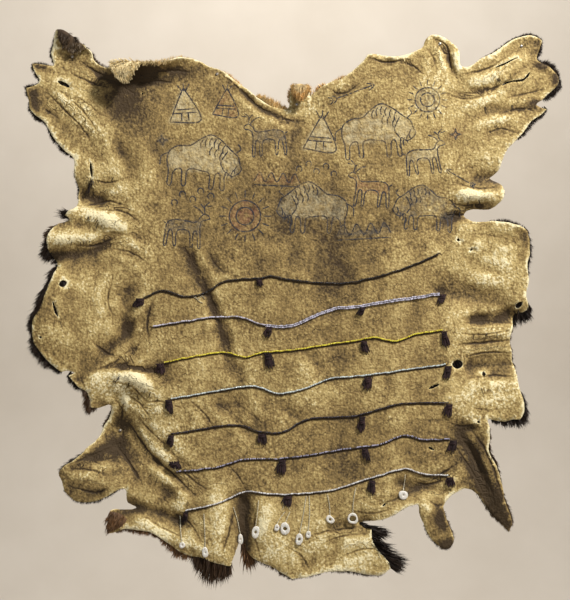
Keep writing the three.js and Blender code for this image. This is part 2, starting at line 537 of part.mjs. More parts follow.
function circleThrough(points, a, b, c) {
  const [ax, az] = points[a];
  const [bx, bz] = [points[b][0] - ax, points[b][1] - az];
  const [cx, cz] = [points[c][0] - ax, points[c][1] - az];
  const double = 2 * (bx * cz - bz * cx);
  const b2 = bx * bx + bz * bz;
  const c2 = cx * cx + cz * cz;
  const x = (cz * b2 - bz * c2) / double;
  const z = (bx * c2 - cx * b2) / double;
  return { corners: [a, b, c], x: ax + x, z: az + z, reach: x * x + z * z };
}

// Delaunay triangles, each point put in by opening up the triangles whose circles hold it
function triangulate(flat) {
  const far = 20000;
  const count = flat.length;
  const points = [...flat, [-far, -far], [far, -far], [0, far]];
  let triangles = [circleThrough(points, count, count + 1, count + 2)];
  for (let i = 0; i < count; i += 1) {
    const [x, z] = points[i];
    const open = new Map();
    const kept = [];
    triangles.forEach((triangle) => {
      if ((x - triangle.x) ** 2 + (z - triangle.z) ** 2 < triangle.reach) {
        const [a, b, c] = triangle.corners;
        [[a, b], [b, c], [c, a]].forEach(([from, to]) => {
          const back = `${to} ${from}`;
          if (open.has(back)) {
            open.delete(back);
          } else {
            open.set(`${from} ${to}`, [from, to]);
          }
        });
      } else {
        kept.push(triangle);
      }
    });
    open.forEach(([from, to]) => kept.push(circleThrough(points, from, to, i)));
    triangles = kept;
  }
  return triangles.map((triangle) => triangle.corners).filter((corners) => corners.every((c) => c < count));
}

// A flat mesh that keeps every loop as edges: a stretch that the triangles miss is halved
function flatSheet(startLoops) {
  let loops = startLoops;
  const field = fieldPoints(loops);
  for (let round = 0; round < 12; round += 1) {
    const points = [...loops.flat(), ...field];
    const triangles = triangulate(points);
    const edges = new Set();
    triangles.forEach(([a, b, c]) => [[a, b], [b, c], [c, a]].forEach(([p, q]) => {
      edges.add(`${p} ${q}`);
      edges.add(`${q} ${p}`);
    }));
    let first = 0;
    let missed = 0;
    const next = loops.map((loop) => {
      const start = first;
      first += loop.length;
      return loop.flatMap((point, i) => {
        const after = (i + 1) % loop.length;
        if (edges.has(`${start + i} ${start + after}`)) {
          return [point];
        }
        missed += 1;
        return [point, [(point[0] + loop[after][0]) / 2, (point[1] + loop[after][1]) / 2]];
      });
    });
    if (missed === 0) {
      const kept = triangles.filter((corners) => {
        const x = corners.reduce((sum, c) => sum + points[c][0], 0) / 3;
        const z = corners.reduce((sum, c) => sum + points[c][1], 0) / 3;
        return isInside(x, z, loops[0]) && loops.slice(1).every((hole) => !isInside(x, z, hole));
      });
      return { points, triangles: kept, outline: loops[0], loops };
    }
    loops = next;
  }
  throw new Error('the edge of the hide could not be meshed');
}

// Solids

function bodyGeometry(vertices, faces) {
  const geometry = new THREE.BufferGeometry();
  const numbers = vertices.flatMap((v) => v.toArray());
  geometry.setAttribute('position', new THREE.Float32BufferAttribute(numbers, 3));
  geometry.setIndex(faces.flat());
  return geometry;
}

function sheetNormals(vertices, triangles) {
  const normals = vertices.map(() => new THREE.Vector3());
  triangles.forEach(([a, b, c]) => {
    const side = vertices[b].clone().sub(vertices[a]).cross(vertices[c].clone().sub(vertices[a]));
    [a, b, c].forEach((corner) => normals[corner].add(side));
  });
  return normals.map((normal) => normal.normalize());
}

// A closed wall between two copies of a sheet, with a rim along every open edge
function wall(front, back, triangles) {
  const count = front.length;
  const directed = new Set(triangles.flatMap(([a, b, c]) => [`${a} ${b}`, `${b} ${c}`, `${c} ${a}`]));
  const faces = [];
  triangles.forEach(([a, b, c]) => {
    faces.push([a, b, c], [count + a, count + c, count + b]);
    [[a, b], [b, c], [c, a]].forEach(([from, to]) => {
      if (!directed.has(`${to} ${from}`)) {
        faces.push([to, from, count + from], [to, count + from, count + to]);
      }
    });
  });
  return bodyGeometry([...front, ...back], faces);
}

// The hair coat's sheet is the skin's, with a fringe of tufts past its edge
function addFringe(sheet) {
  const { outline } = sheet;
  const points = [...sheet.points];
  const triangles = [...sheet.triangles];
  const nearest = ([x, z]) => outline.reduce((best, [px, pz], i) => {
    const gap = Math.hypot(px - x, pz - z);
    return gap < best.gap ? { gap, i } : best;
  }, { gap: Infinity, i: 0 }).i;
  TUFTS_OF_HAIR.forEach((tuft, tuftIndex) => {
    const first = nearest(tuft.from);
    const count = (nearest(tuft.to) - first + outline.length) % outline.length;
    const outer = [first];
    for (let k = 1; k < count; k += 1) {
      const [x, z] = outline[(first + k) % outline.length];
      const swell = Math.sin((Math.PI * k) / count) ** 0.5;
      const reach = swell * (k % 2 === 0 ? 1 : 0.68 + 0.2 * wobble(tuftIndex * 7 + k));
      outer.push(points.length);
      points.push([x + tuft.dx * reach, z + tuft.dz * reach]);
    }
    outer.push((first + count) % outline.length);
    for (let k = 0; k < count; k += 1) {
      const a = (first + k) % outline.length;
      const b = (first + k + 1) % outline.length;
      if (k > 0) {
        triangles.push([a, outer[k + 1], outer[k]]);
      }
      if (k < count - 1) {
        triangles.push([a, b, outer[k + 1]]);
      }
    }
  });
  return { points, triangles };
}

function makeSkin(sheet) {
  const vertices = sheet.points.map(([x, z]) => hang(x, z));
  const normals = sheetNormals(vertices, sheet.triangles);
  const side = (offset) => vertices.map((v, i) => v.clone().addScaledVector(normals[i], offset));
  return { vertices, normals, geometry: wall(side(LEATHER / 2), side(-LEATHER / 2), sheet.triangles) };
}

function makeCoat(sheet, skin) {
  const { points, triangles } = addFringe(sheet);
  const vertices = points.map(([x, z], i) => skin.vertices[i] ?? hang(x, z));
  const normals = sheetNormals(vertices, triangles);
  skin.normals.forEach((normal, i) => {
    normals[i] = normal;
  });
  const near = LEATHER / 2 + SEAM;
  const front = vertices.map((v, i) => v.clone().addScaledVector(normals[i], -near));
  const back = vertices.map((v, i) => {
    const [x, z] = points[i];
    const inner = i < skin.vertices.length;
    const thick = inner
      ? THREE.MathUtils.lerp(COAT_EDGE, COAT, smooth(0, COAT_TAPER, distanceToEdges(x, z, sheet.loops)))
      : COAT_TIP;
    return v.clone().addScaledVector(normals[i], -near - thick);
  });
  return wall(front, back, triangles);
}

function toManifold(geometry) {
  const bare = geometry.clone();
  bare.deleteAttribute('normal');
  bare.deleteAttribute('uv');
  const merged = mergeVertices(bare, 1e-4);
  return new wasm.Manifold(new wasm.Mesh({
    numProp: 3,
    vertProperties: new Float32Array(merged.attributes.position.array),
    triVerts: new Uint32Array(merged.index.array),
  }));
}

function fromManifold(solid) {
  const mesh = solid.getMesh();
  const geometry = new THREE.BufferGeometry();
  geometry.setAttribute('position', new THREE.BufferAttribute(new Float32Array(mesh.vertProperties), 3));
  geometry.setIndex(new THREE.BufferAttribute(new Uint32Array(mesh.triVerts), 1));
  return geometry;
}

// How far the skin's front stands towards the room over a place, read from its own facets
function makeFrontReader(sheet, skin) {
  const front = skin.vertices.map((v, i) => v.clone().addScaledVector(skin.normals[i], LEATHER / 2));
  const facets = sheet.triangles.map((corners) => corners.map((c) => front[c]));
  return (x, z) => {
    const found = facets.reduce((most, [a, b, c]) => {
      const area = (b.x - a.x) * (c.z - a.z) - (b.z - a.z) * (c.x - a.x);
      const u = ((b.x - x) * (c.z - z) - (b.z - z) * (c.x - x)) / area;
      const v = ((c.x - x) * (a.z - z) - (c.z - z) * (a.x - x)) / area;
      const holds = u >= -1e-6 && v >= -1e-6 && u + v <= 1 + 1e-6;
      return holds ? Math.min(most, u * a.y + v * b.y + (1 - u - v) * c.y) : most;
    }, Infinity);
    return found === Infinity ? -standOff(x, z) - LEATHER / 2 : found;
  };
}

// Nearest the room that the skin comes anywhere within a small patch
function patchFront(frontAt, x, z, halfWidth, halfHeight) {
  let most = 0;
  for (let i = -2; i <= 2; i += 1) {
    for (let k = -2; k <= 2; k += 1) {
      most = Math.min(most, frontAt(x + (i * halfWidth) / 2, z + (k * halfHeight) / 2));
    }
  }
  return most;
}

function tube(points, radius, sides, steps) {
  const section = new THREE.Shape();
  for (let i = 0; i < sides; i += 1) {
    const angle = (2 * Math.PI * i) / sides;
    const x = radius * Math.cos(angle);
    const y = radius * Math.sin(angle);
    if (i === 0) {
      section.moveTo(x, y);
    } else {
      section.lineTo(x, y);
    }
  }
  const extrudePath = new THREE.CatmullRomCurve3(points);
  return new THREE.ExtrudeGeometry(section, { steps, bevelEnabled: false, extrudePath, curveSegments: 1 });
}

// Slides a piece back towards the wall until it all but touches the skin
function seat(geometry, frontAt) {
  const position = geometry.getAttribute('position');
  const corner = (i) => new THREE.Vector3().fromBufferAttribute(position, geometry.index.getX(i));
  const parts = 4;
  let clear = Infinity;
  for (let i = 0; i < geometry.index.count; i += 3) {
    const [a, b, c] = [corner(i), corner(i + 1), corner(i + 2)];
    for (let u = 0; u <= parts; u += 1) {
      for (let v = 0; v <= parts - u; v += 1) {
        const at = a.clone().multiplyScalar(u / parts)
          .addScaledVector(b, v / parts)
          .addScaledVector(c, (parts - u - v) / parts);
        clear = Math.min(clear, frontAt(at.x, at.z) - at.y);
      }
    }
  }
  return geometry.translate(0, clear - SEAM, 0);
}

function stringCurve(string) {
  return new THREE.SplineCurve(string.path.map(([x, z]) => new THREE.Vector2(x, z)));
}

function makeString(string, frontAt) {
  const lift = BEADS + SEAM + 0.25;
  const points = stringCurve(string).getSpacedPoints(46).map(({ x, y: z }) => {
    const front = patchFront(frontAt, x, z, 12, 2);
    return new THREE.Vector3(x, front - lift, z);
  });
  return tube(points, BEADS, 4, 30);
}

// Height of a string of beads at a place along X
function stringHeight(string, x) {
  const points = stringCurve(string).getSpacedPoints(200);
  return points.reduce((best, point) => (Math.abs(point.x - x) < Math.abs(best.x - x) ? point : best)).y;
}

// A tuft is a knotted head with locks of wool fused to its lower end, hanging against the hide
function makeTuft(tuft, index, frontAt) {
  const string = STRINGS[tuft.string - 1];
  const [low, high] = [-0.22, 0.22].map((side) => stringHeight(string, tuft.x + side * tuft.width));
  const top = Math.min(low, high) - BEADS - SEAM + (tuft.above ?? 0);
  const headEnd = top - tuft.drop * 0.3;
  const skin = patchFront(frontAt, tuft.x, top - tuft.drop / 2, tuft.width / 2, tuft.drop / 2);
  const middle = skin - TUFT_DEPTH / 2;
  const vertices = [];
  const faces = [];
  const point = (x, y, z) => vertices.push(new THREE.Vector3(x, y, z)) - 1;
  const quad = (a, b, c, d) => faces.push([a, b, c], [a, c, d]);
  const headTop = [-1, 1].map((side) => {
    const x = tuft.x + side * tuft.width * 0.2;
    return [point(x, middle - TUFT_DEPTH * 0.34, top), point(x, middle + TUFT_DEPTH * 0.34, top)];
  });
  const roots = [];
  for (let k = 0; k < LOCKS; k += 1) {
    const spread = (k / (LOCKS - 1)) * 2 - 1;
    const rootX = tuft.x + tuft.lean * 0.3 + spread * tuft.width * 0.3;
    const tipX = tuft.x + tuft.lean + spread * tuft.width * 0.44;
    const tipZ = top - tuft.drop * (0.84 + 0.16 * wobble(index * 11 + k)) + Math.abs(spread) * 2;
    const corners = [
      [rootX, headEnd, tuft.width * 0.064, TUFT_DEPTH * 0.5],
      [tipX, tipZ, tuft.width * 0.03, TUFT_DEPTH * 0.2],
    ].map(([x, z, halfWidth, halfDepth]) => [
      point(x - halfWidth, middle - halfDepth, z), point(x + halfWidth, middle - halfDepth, z),
      point(x + halfWidth, middle + halfDepth, z), point(x - halfWidth, middle + halfDepth, z),
    ]);
    const [root, tip] = corners;
    for (let i = 0; i < 4; i += 1) {
      const j = (i + 1) % 4;
      quad(root[i], tip[i], tip[j], root[j]);
    }
    quad(tip[3], tip[2], tip[1], tip[0]);
    roots.push(root);
  }
  const [[leftFront, leftBack], [rightFront, rightBack]] = headTop;
  quad(leftFront, rightFront, rightBack, leftBack);
  quad(leftFront, leftBack, roots[0][3], roots[0][0]);
  quad(rightBack, rightFront, roots[LOCKS - 1][1], roots[LOCKS - 1][2]);
  const lower = [
    { row: roots.flatMap((root) => [root[0], root[1]]), left: leftFront, right: rightFront },
    { row: roots.flatMap((root) => [root[3], root[2]]).reverse(), left: rightBack, right: leftBack },
  ];
  lower.forEach(({ row, left, right }) => {
    const half = row.length / 2;
    for (let i = 0; i + 1 < row.length; i += 1) {
      faces.push([i < half ? left : right, row[i], row[i + 1]]);
    }
    faces.push([left, row[half], right]);
  });
  for (let k = 0; k + 1 < LOCKS; k += 1) {
    quad(roots[k][1], roots[k][2], roots[k + 1][3], roots[k + 1][0]);
  }
  return seat(bodyGeometry(vertices, faces), frontAt);
}

function shellShape(pendant) {
  const sides = pendant.bore > 0 ? 9 : 8;
  const oval = (width, height) => {
    const points = [];
    for (let i = 0; i < sides; i += 1) {
      const angle = (2 * Math.PI * i) / sides;
      const point = new THREE.Vector2((width / 2) * Math.cos(angle), (height / 2) * Math.sin(angle));
      points.push(point.rotateAround(new THREE.Vector2(), toRadians(pendant.turn)));
    }
    return points;
  };
  const shape = new THREE.Shape(oval(pendant.width, pendant.height));
  if (pendant.bore > 0) {
    const boreHeight = pendant.bore * (pendant.height / pendant.width) * 0.9;
    shape.holes.push(new THREE.Path(oval(pendant.bore, boreHeight).reverse()));
  }
  return shape;
}

// A cut shell lies against the hide on a thread that runs up to its stitch
function makePendant(pendant, frontAt) {
  const skin = patchFront(frontAt, pendant.x, pendant.z, pendant.width * 0.55, pendant.height * 0.55);
  const shell = new THREE.ExtrudeGeometry(shellShape(pendant), { depth: SHELL_DEPTH, bevelEnabled: false });
  shell.rotateX(Math.PI / 2);
  shell.translate(pendant.x, skin - SEAM, pendant.z);
  const [topX, topZ] = pendant.top;
  const hold = pendant.z + pendant.height * 0.5 - 2;
  const points = [];
  const count = 7;
  for (let i = 0; i < count; i += 1) {
    const share = i / (count - 1);
    const x = THREE.MathUtils.lerp(topX, pendant.x, share) + 2 * Math.sin(Math.PI * share);
    const z = THREE.MathUtils.lerp(topZ, hold, share);
    points.push(new THREE.Vector3(x, patchFront(frontAt, x, z, 2, 5) - THREAD - SEAM, z));
  }
  points[count - 1].y = Math.min(points[count - 1].y, skin - SEAM - SHELL_DEPTH / 2);
  return seat(fromManifold(toManifold(shell).add(toManifold(tube(points, THREAD, 3, 6)))), frontAt);
}

function makeNail(nail, frontAt) {
  const seat = patchFront(frontAt, nail.x, nail.z, HEAD, HEAD) - SEAM;
  const profile = [
    [0, seat - 1.8], [HEAD * 0.8, seat - 1.4], [HEAD, seat], [SHANK, seat], [SHANK, NAIL_DEPTH],
    [0, NAIL_DEPTH + 3],
  ].map(([radius, y]) => new THREE.Vector2(radius, y));
  const geometry = new THREE.LatheGeometry(profile, 7);
  geometry.translate(nail.x, 0, nail.z);
  return geometry;
}

function material(color, roughness, metalness = 0) {
  return new THREE.MeshStandardMaterial({ color, roughness, metalness });
}

function makeRobe() {
  const robe = new THREE.Group();
  const add = (name, geometry, look) => {
    const mesh = new THREE.Mesh(geometry, look);
    mesh.name = name;
    robe.add(mesh);
  };
  const loops = [edgeLoop(), ...RIPS.map(ripLoop), ...NAILS.map(pinLoop)];
  const sheet = flatSheet(loops);
  const skin = makeSkin(sheet);
  const frontAt = makeFrontReader(sheet, skin);
  add('hide', skin.geometry, material('#b39763', 0.85));
  add('hair_coat', makeCoat(sheet, skin), material('#3b2a1c', 0.8));
  STRINGS.forEach((string, i) => {
    add(`bead_string_${i + 1}`, makeString(string, frontAt), material(string.colour, 0.35));
  });
  TUFTS.forEach((tuft, i) => {
    add(`wool_tuft_${i + 1}`, makeTuft(tuft, i, frontAt), material('#2a1620', 0.95));
  });
  PENDANTS.forEach((pendant, i) => {
    add(`shell_pendant_${i + 1}`, makePendant(pendant, frontAt), material('#e6e0d2', 0.4));
  });
  NAILS.forEach((nail, i) => {
    add(`nail_${i + 1}`, makeNail(nail, frontAt), material('#c9c6be', 0.35, 0.9));
  });
  return robe;
}

const group = makeRobe();
export default group;
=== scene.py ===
# A painted hide robe on its nails: bare skin, painting, hair, beads, wool, shells and stage.
# Metres, +Z up, the room on the -Y side, the origin at the neck nail, as in the frame.

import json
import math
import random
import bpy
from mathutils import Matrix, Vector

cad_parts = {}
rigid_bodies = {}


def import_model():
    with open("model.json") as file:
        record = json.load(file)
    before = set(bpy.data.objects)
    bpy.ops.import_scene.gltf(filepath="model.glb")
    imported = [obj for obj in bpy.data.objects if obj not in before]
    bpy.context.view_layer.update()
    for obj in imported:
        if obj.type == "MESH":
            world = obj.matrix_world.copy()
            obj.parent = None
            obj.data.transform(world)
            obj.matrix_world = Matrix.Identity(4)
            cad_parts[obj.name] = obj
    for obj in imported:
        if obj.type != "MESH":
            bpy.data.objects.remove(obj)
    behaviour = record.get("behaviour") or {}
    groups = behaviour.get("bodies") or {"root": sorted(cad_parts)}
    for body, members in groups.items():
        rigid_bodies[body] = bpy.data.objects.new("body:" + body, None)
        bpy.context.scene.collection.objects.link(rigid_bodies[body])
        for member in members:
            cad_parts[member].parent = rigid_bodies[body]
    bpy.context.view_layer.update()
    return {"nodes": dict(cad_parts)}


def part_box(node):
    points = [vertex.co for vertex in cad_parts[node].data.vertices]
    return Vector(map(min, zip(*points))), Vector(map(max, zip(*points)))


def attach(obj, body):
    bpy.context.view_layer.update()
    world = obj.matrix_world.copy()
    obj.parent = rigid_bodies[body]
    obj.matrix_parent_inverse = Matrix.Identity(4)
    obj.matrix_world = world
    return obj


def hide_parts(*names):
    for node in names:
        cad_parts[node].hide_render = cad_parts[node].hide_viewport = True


bl_info = {
    "name": "Painted Hide Robe",
    "version": (1, 0, 0),
    "blender": (4, 5, 0),
    "location": "View3D > Sidebar > Hide Robe",
    "description": "Finishes the frame of a painted hide robe with skin, hair, beadwork and shells",
    "category": "Object",
}

import bmesh
import bpy
import numpy as np
from bpy.props import FloatProperty, FloatVectorProperty, IntProperty, PointerProperty
from mathutils import Vector, noise
from mathutils.bvhtree import BVHTree
from mathutils.kdtree import KDTree

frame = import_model()

MM = 0.001
BODY = "root"
LEATHER = 2.2 * MM           # thickness of the skin in the frame, which tells its rim faces
GRAIN_DEPTH = 2.6 * MM       # how deep the grain looks, bare or painted
STRINGS, TUFTS, NAILS = range(1, 8), range(1, 25), range(1, 7)
OPEN_STRING, DOUBLED_STRING = 1, 2       # one shows the ends of its thread, one runs in two rows at its right
FRAYED_TUFT = 17             # its cotton shows below it
ROOM_SIDE = -0.3             # well before the skin, where lines to it start
NAIL_REACH = 12 * MM         # around a nail the skin stays where the frame has it
NECK_TAB = (6 * MM, 17 * MM)             # middle of its round end, across and up
NECK_TAB_RADIUS = 20 * MM


# Values that a user would change

class SkinSettings(bpy.types.PropertyGroup):
    thickness: FloatProperty(name="Thickness", description="Thickness of the tanned skin",
                             default=2.0 * MM, unit="LENGTH")
    rounding: IntProperty(name="Rounding", description="Subdivision levels of the skin's surface", default=2)
    swell: FloatProperty(name="Swell", description="Height of the broad unevenness of the skin",
                         default=2.8 * MM, unit="LENGTH")
    crease: FloatProperty(name="Creases", description="How deep the creases are, one being as listed", default=1.15)
    cockle: FloatProperty(name="Cockle", description="Height of the small cockling of the skin",
                          default=1.0 * MM, unit="LENGTH")
    curl: FloatProperty(name="Rim curl", description="How far the dried rim curls to the room",
                        default=2.4 * MM, unit="LENGTH")
    ragged: FloatProperty(name="Ragged edge", description="How far the cut edge wanders",
                          default=1.6 * MM, unit="LENGTH")
    # The darkest skin, reached by stains and by the painted shade in creases, hollows and under the strings.
    dark: FloatVectorProperty(name="Dark skin", description="Colour of the creases and stains",
                              default=(0.055, 0.034, 0.014), subtype="COLOR")
    middle: FloatVectorProperty(name="Skin", description="Colour of most of the skin",
                                default=(0.30, 0.205, 0.074), subtype="COLOR")
    # The lightest skin, reached by rubbed skin and by the painted highlight on ridges.
    light: FloatVectorProperty(name="Light skin", description="Colour of the rubbed skin",
                               default=(0.57, 0.435, 0.18), subtype="COLOR")
    rim: FloatVectorProperty(name="Rim", description="Colour of the dried rim",
                             default=(0.88, 0.78, 0.49), subtype="COLOR")


class PaintSettings(bpy.types.PropertyGroup):
    line: FloatProperty(name="Line", description="Width of a painted line", default=3.0 * MM, unit="LENGTH")
    height: FloatProperty(name="Paint", description="Height of the dried paint", default=0.22 * MM, unit="LENGTH")
    ink: FloatVectorProperty(name="Ink", description="Colour of the outlines",
                             default=(0.022, 0.020, 0.024), subtype="COLOR")


class HairSettings(bpy.types.PropertyGroup):
    density: FloatProperty(name="Locks", description="Locks of hair for each square metre", default=16500.0)
    length: FloatProperty(name="Length", description="Length of a lock on the back", default=26 * MM, unit="LENGTH")
    lean: FloatProperty(name="Lean", description="How flat the hair lies", default=2.6)
    seed: IntProperty(name="Seed", description="Which of many like coats is grown", default=7)


class BeadSettings(bpy.types.PropertyGroup):
    radius: FloatProperty(name="Bead radius", description="Radius of a seed bead", default=1.5 * MM, unit="LENGTH")
    pitch: FloatProperty(name="Bead pitch", description="Spacing of the beads", default=2.3 * MM, unit="LENGTH")
    seed: IntProperty(name="Seed", description="Which way the beads tilt", default=3)


class WoolSettings(bpy.types.PropertyGroup):
    yarn: FloatProperty(name="Yarn", description="Radius of a strand of yarn", default=1.05 * MM, unit="LENGTH")
    strands: IntProperty(name="Strands", description="Strands in a tuft of middling width", default=15)
    colour: FloatVectorProperty(name="Wool", description="Colour of the wool",
                                default=(0.018, 0.0080, 0.0085), subtype="COLOR")


class ShellSettings(bpy.types.PropertyGroup):
    depth: FloatProperty(name="Shell depth", description="Thickness of a cut shell", default=3.4 * MM, unit="LENGTH")
    thread: FloatProperty(name="Thread", description="Radius of one ply of thread", default=0.42 * MM, unit="LENGTH")
    shell: FloatVectorProperty(name="Shell", description="Colour of the shells",
                               default=(0.80, 0.76, 0.68), subtype="COLOR")


class StageSettings(bpy.types.PropertyGroup):
    distance: FloatProperty(name="Camera distance", description="From the camera to the hide",
                            default=2.6, unit="LENGTH")
    high: FloatProperty(name="Height in view", description="How much of the hide's height shows",
                        default=1.2, unit="LENGTH")
    middle_x: FloatProperty(name="Aim across", description="Where the camera aims, across",
                            default=-0.024, unit="LENGTH")
    middle_z: FloatProperty(name="Aim up", description="Where the camera aims, up",
                            default=-0.394, unit="LENGTH")
    key: FloatProperty(name="Key light", description="Power of the main light", default=172.0, unit="POWER")
    fill: FloatProperty(name="Fill light", description="Power of the soft front light", default=15.0, unit="POWER")
    backdrop: FloatProperty(name="Backdrop light", description="Power of the light on the far wall",
                            default=190.0, unit="POWER")
    even: FloatProperty(name="Even light", description="Strength of the light from all round", default=0.20)


SETTINGS = {"robe_skin": SkinSettings, "robe_paint": PaintSettings, "robe_hair": HairSettings,
            "robe_beads": BeadSettings, "robe_wool": WoolSettings, "robe_shells": ShellSettings,
            "robe_stage": StageSettings}

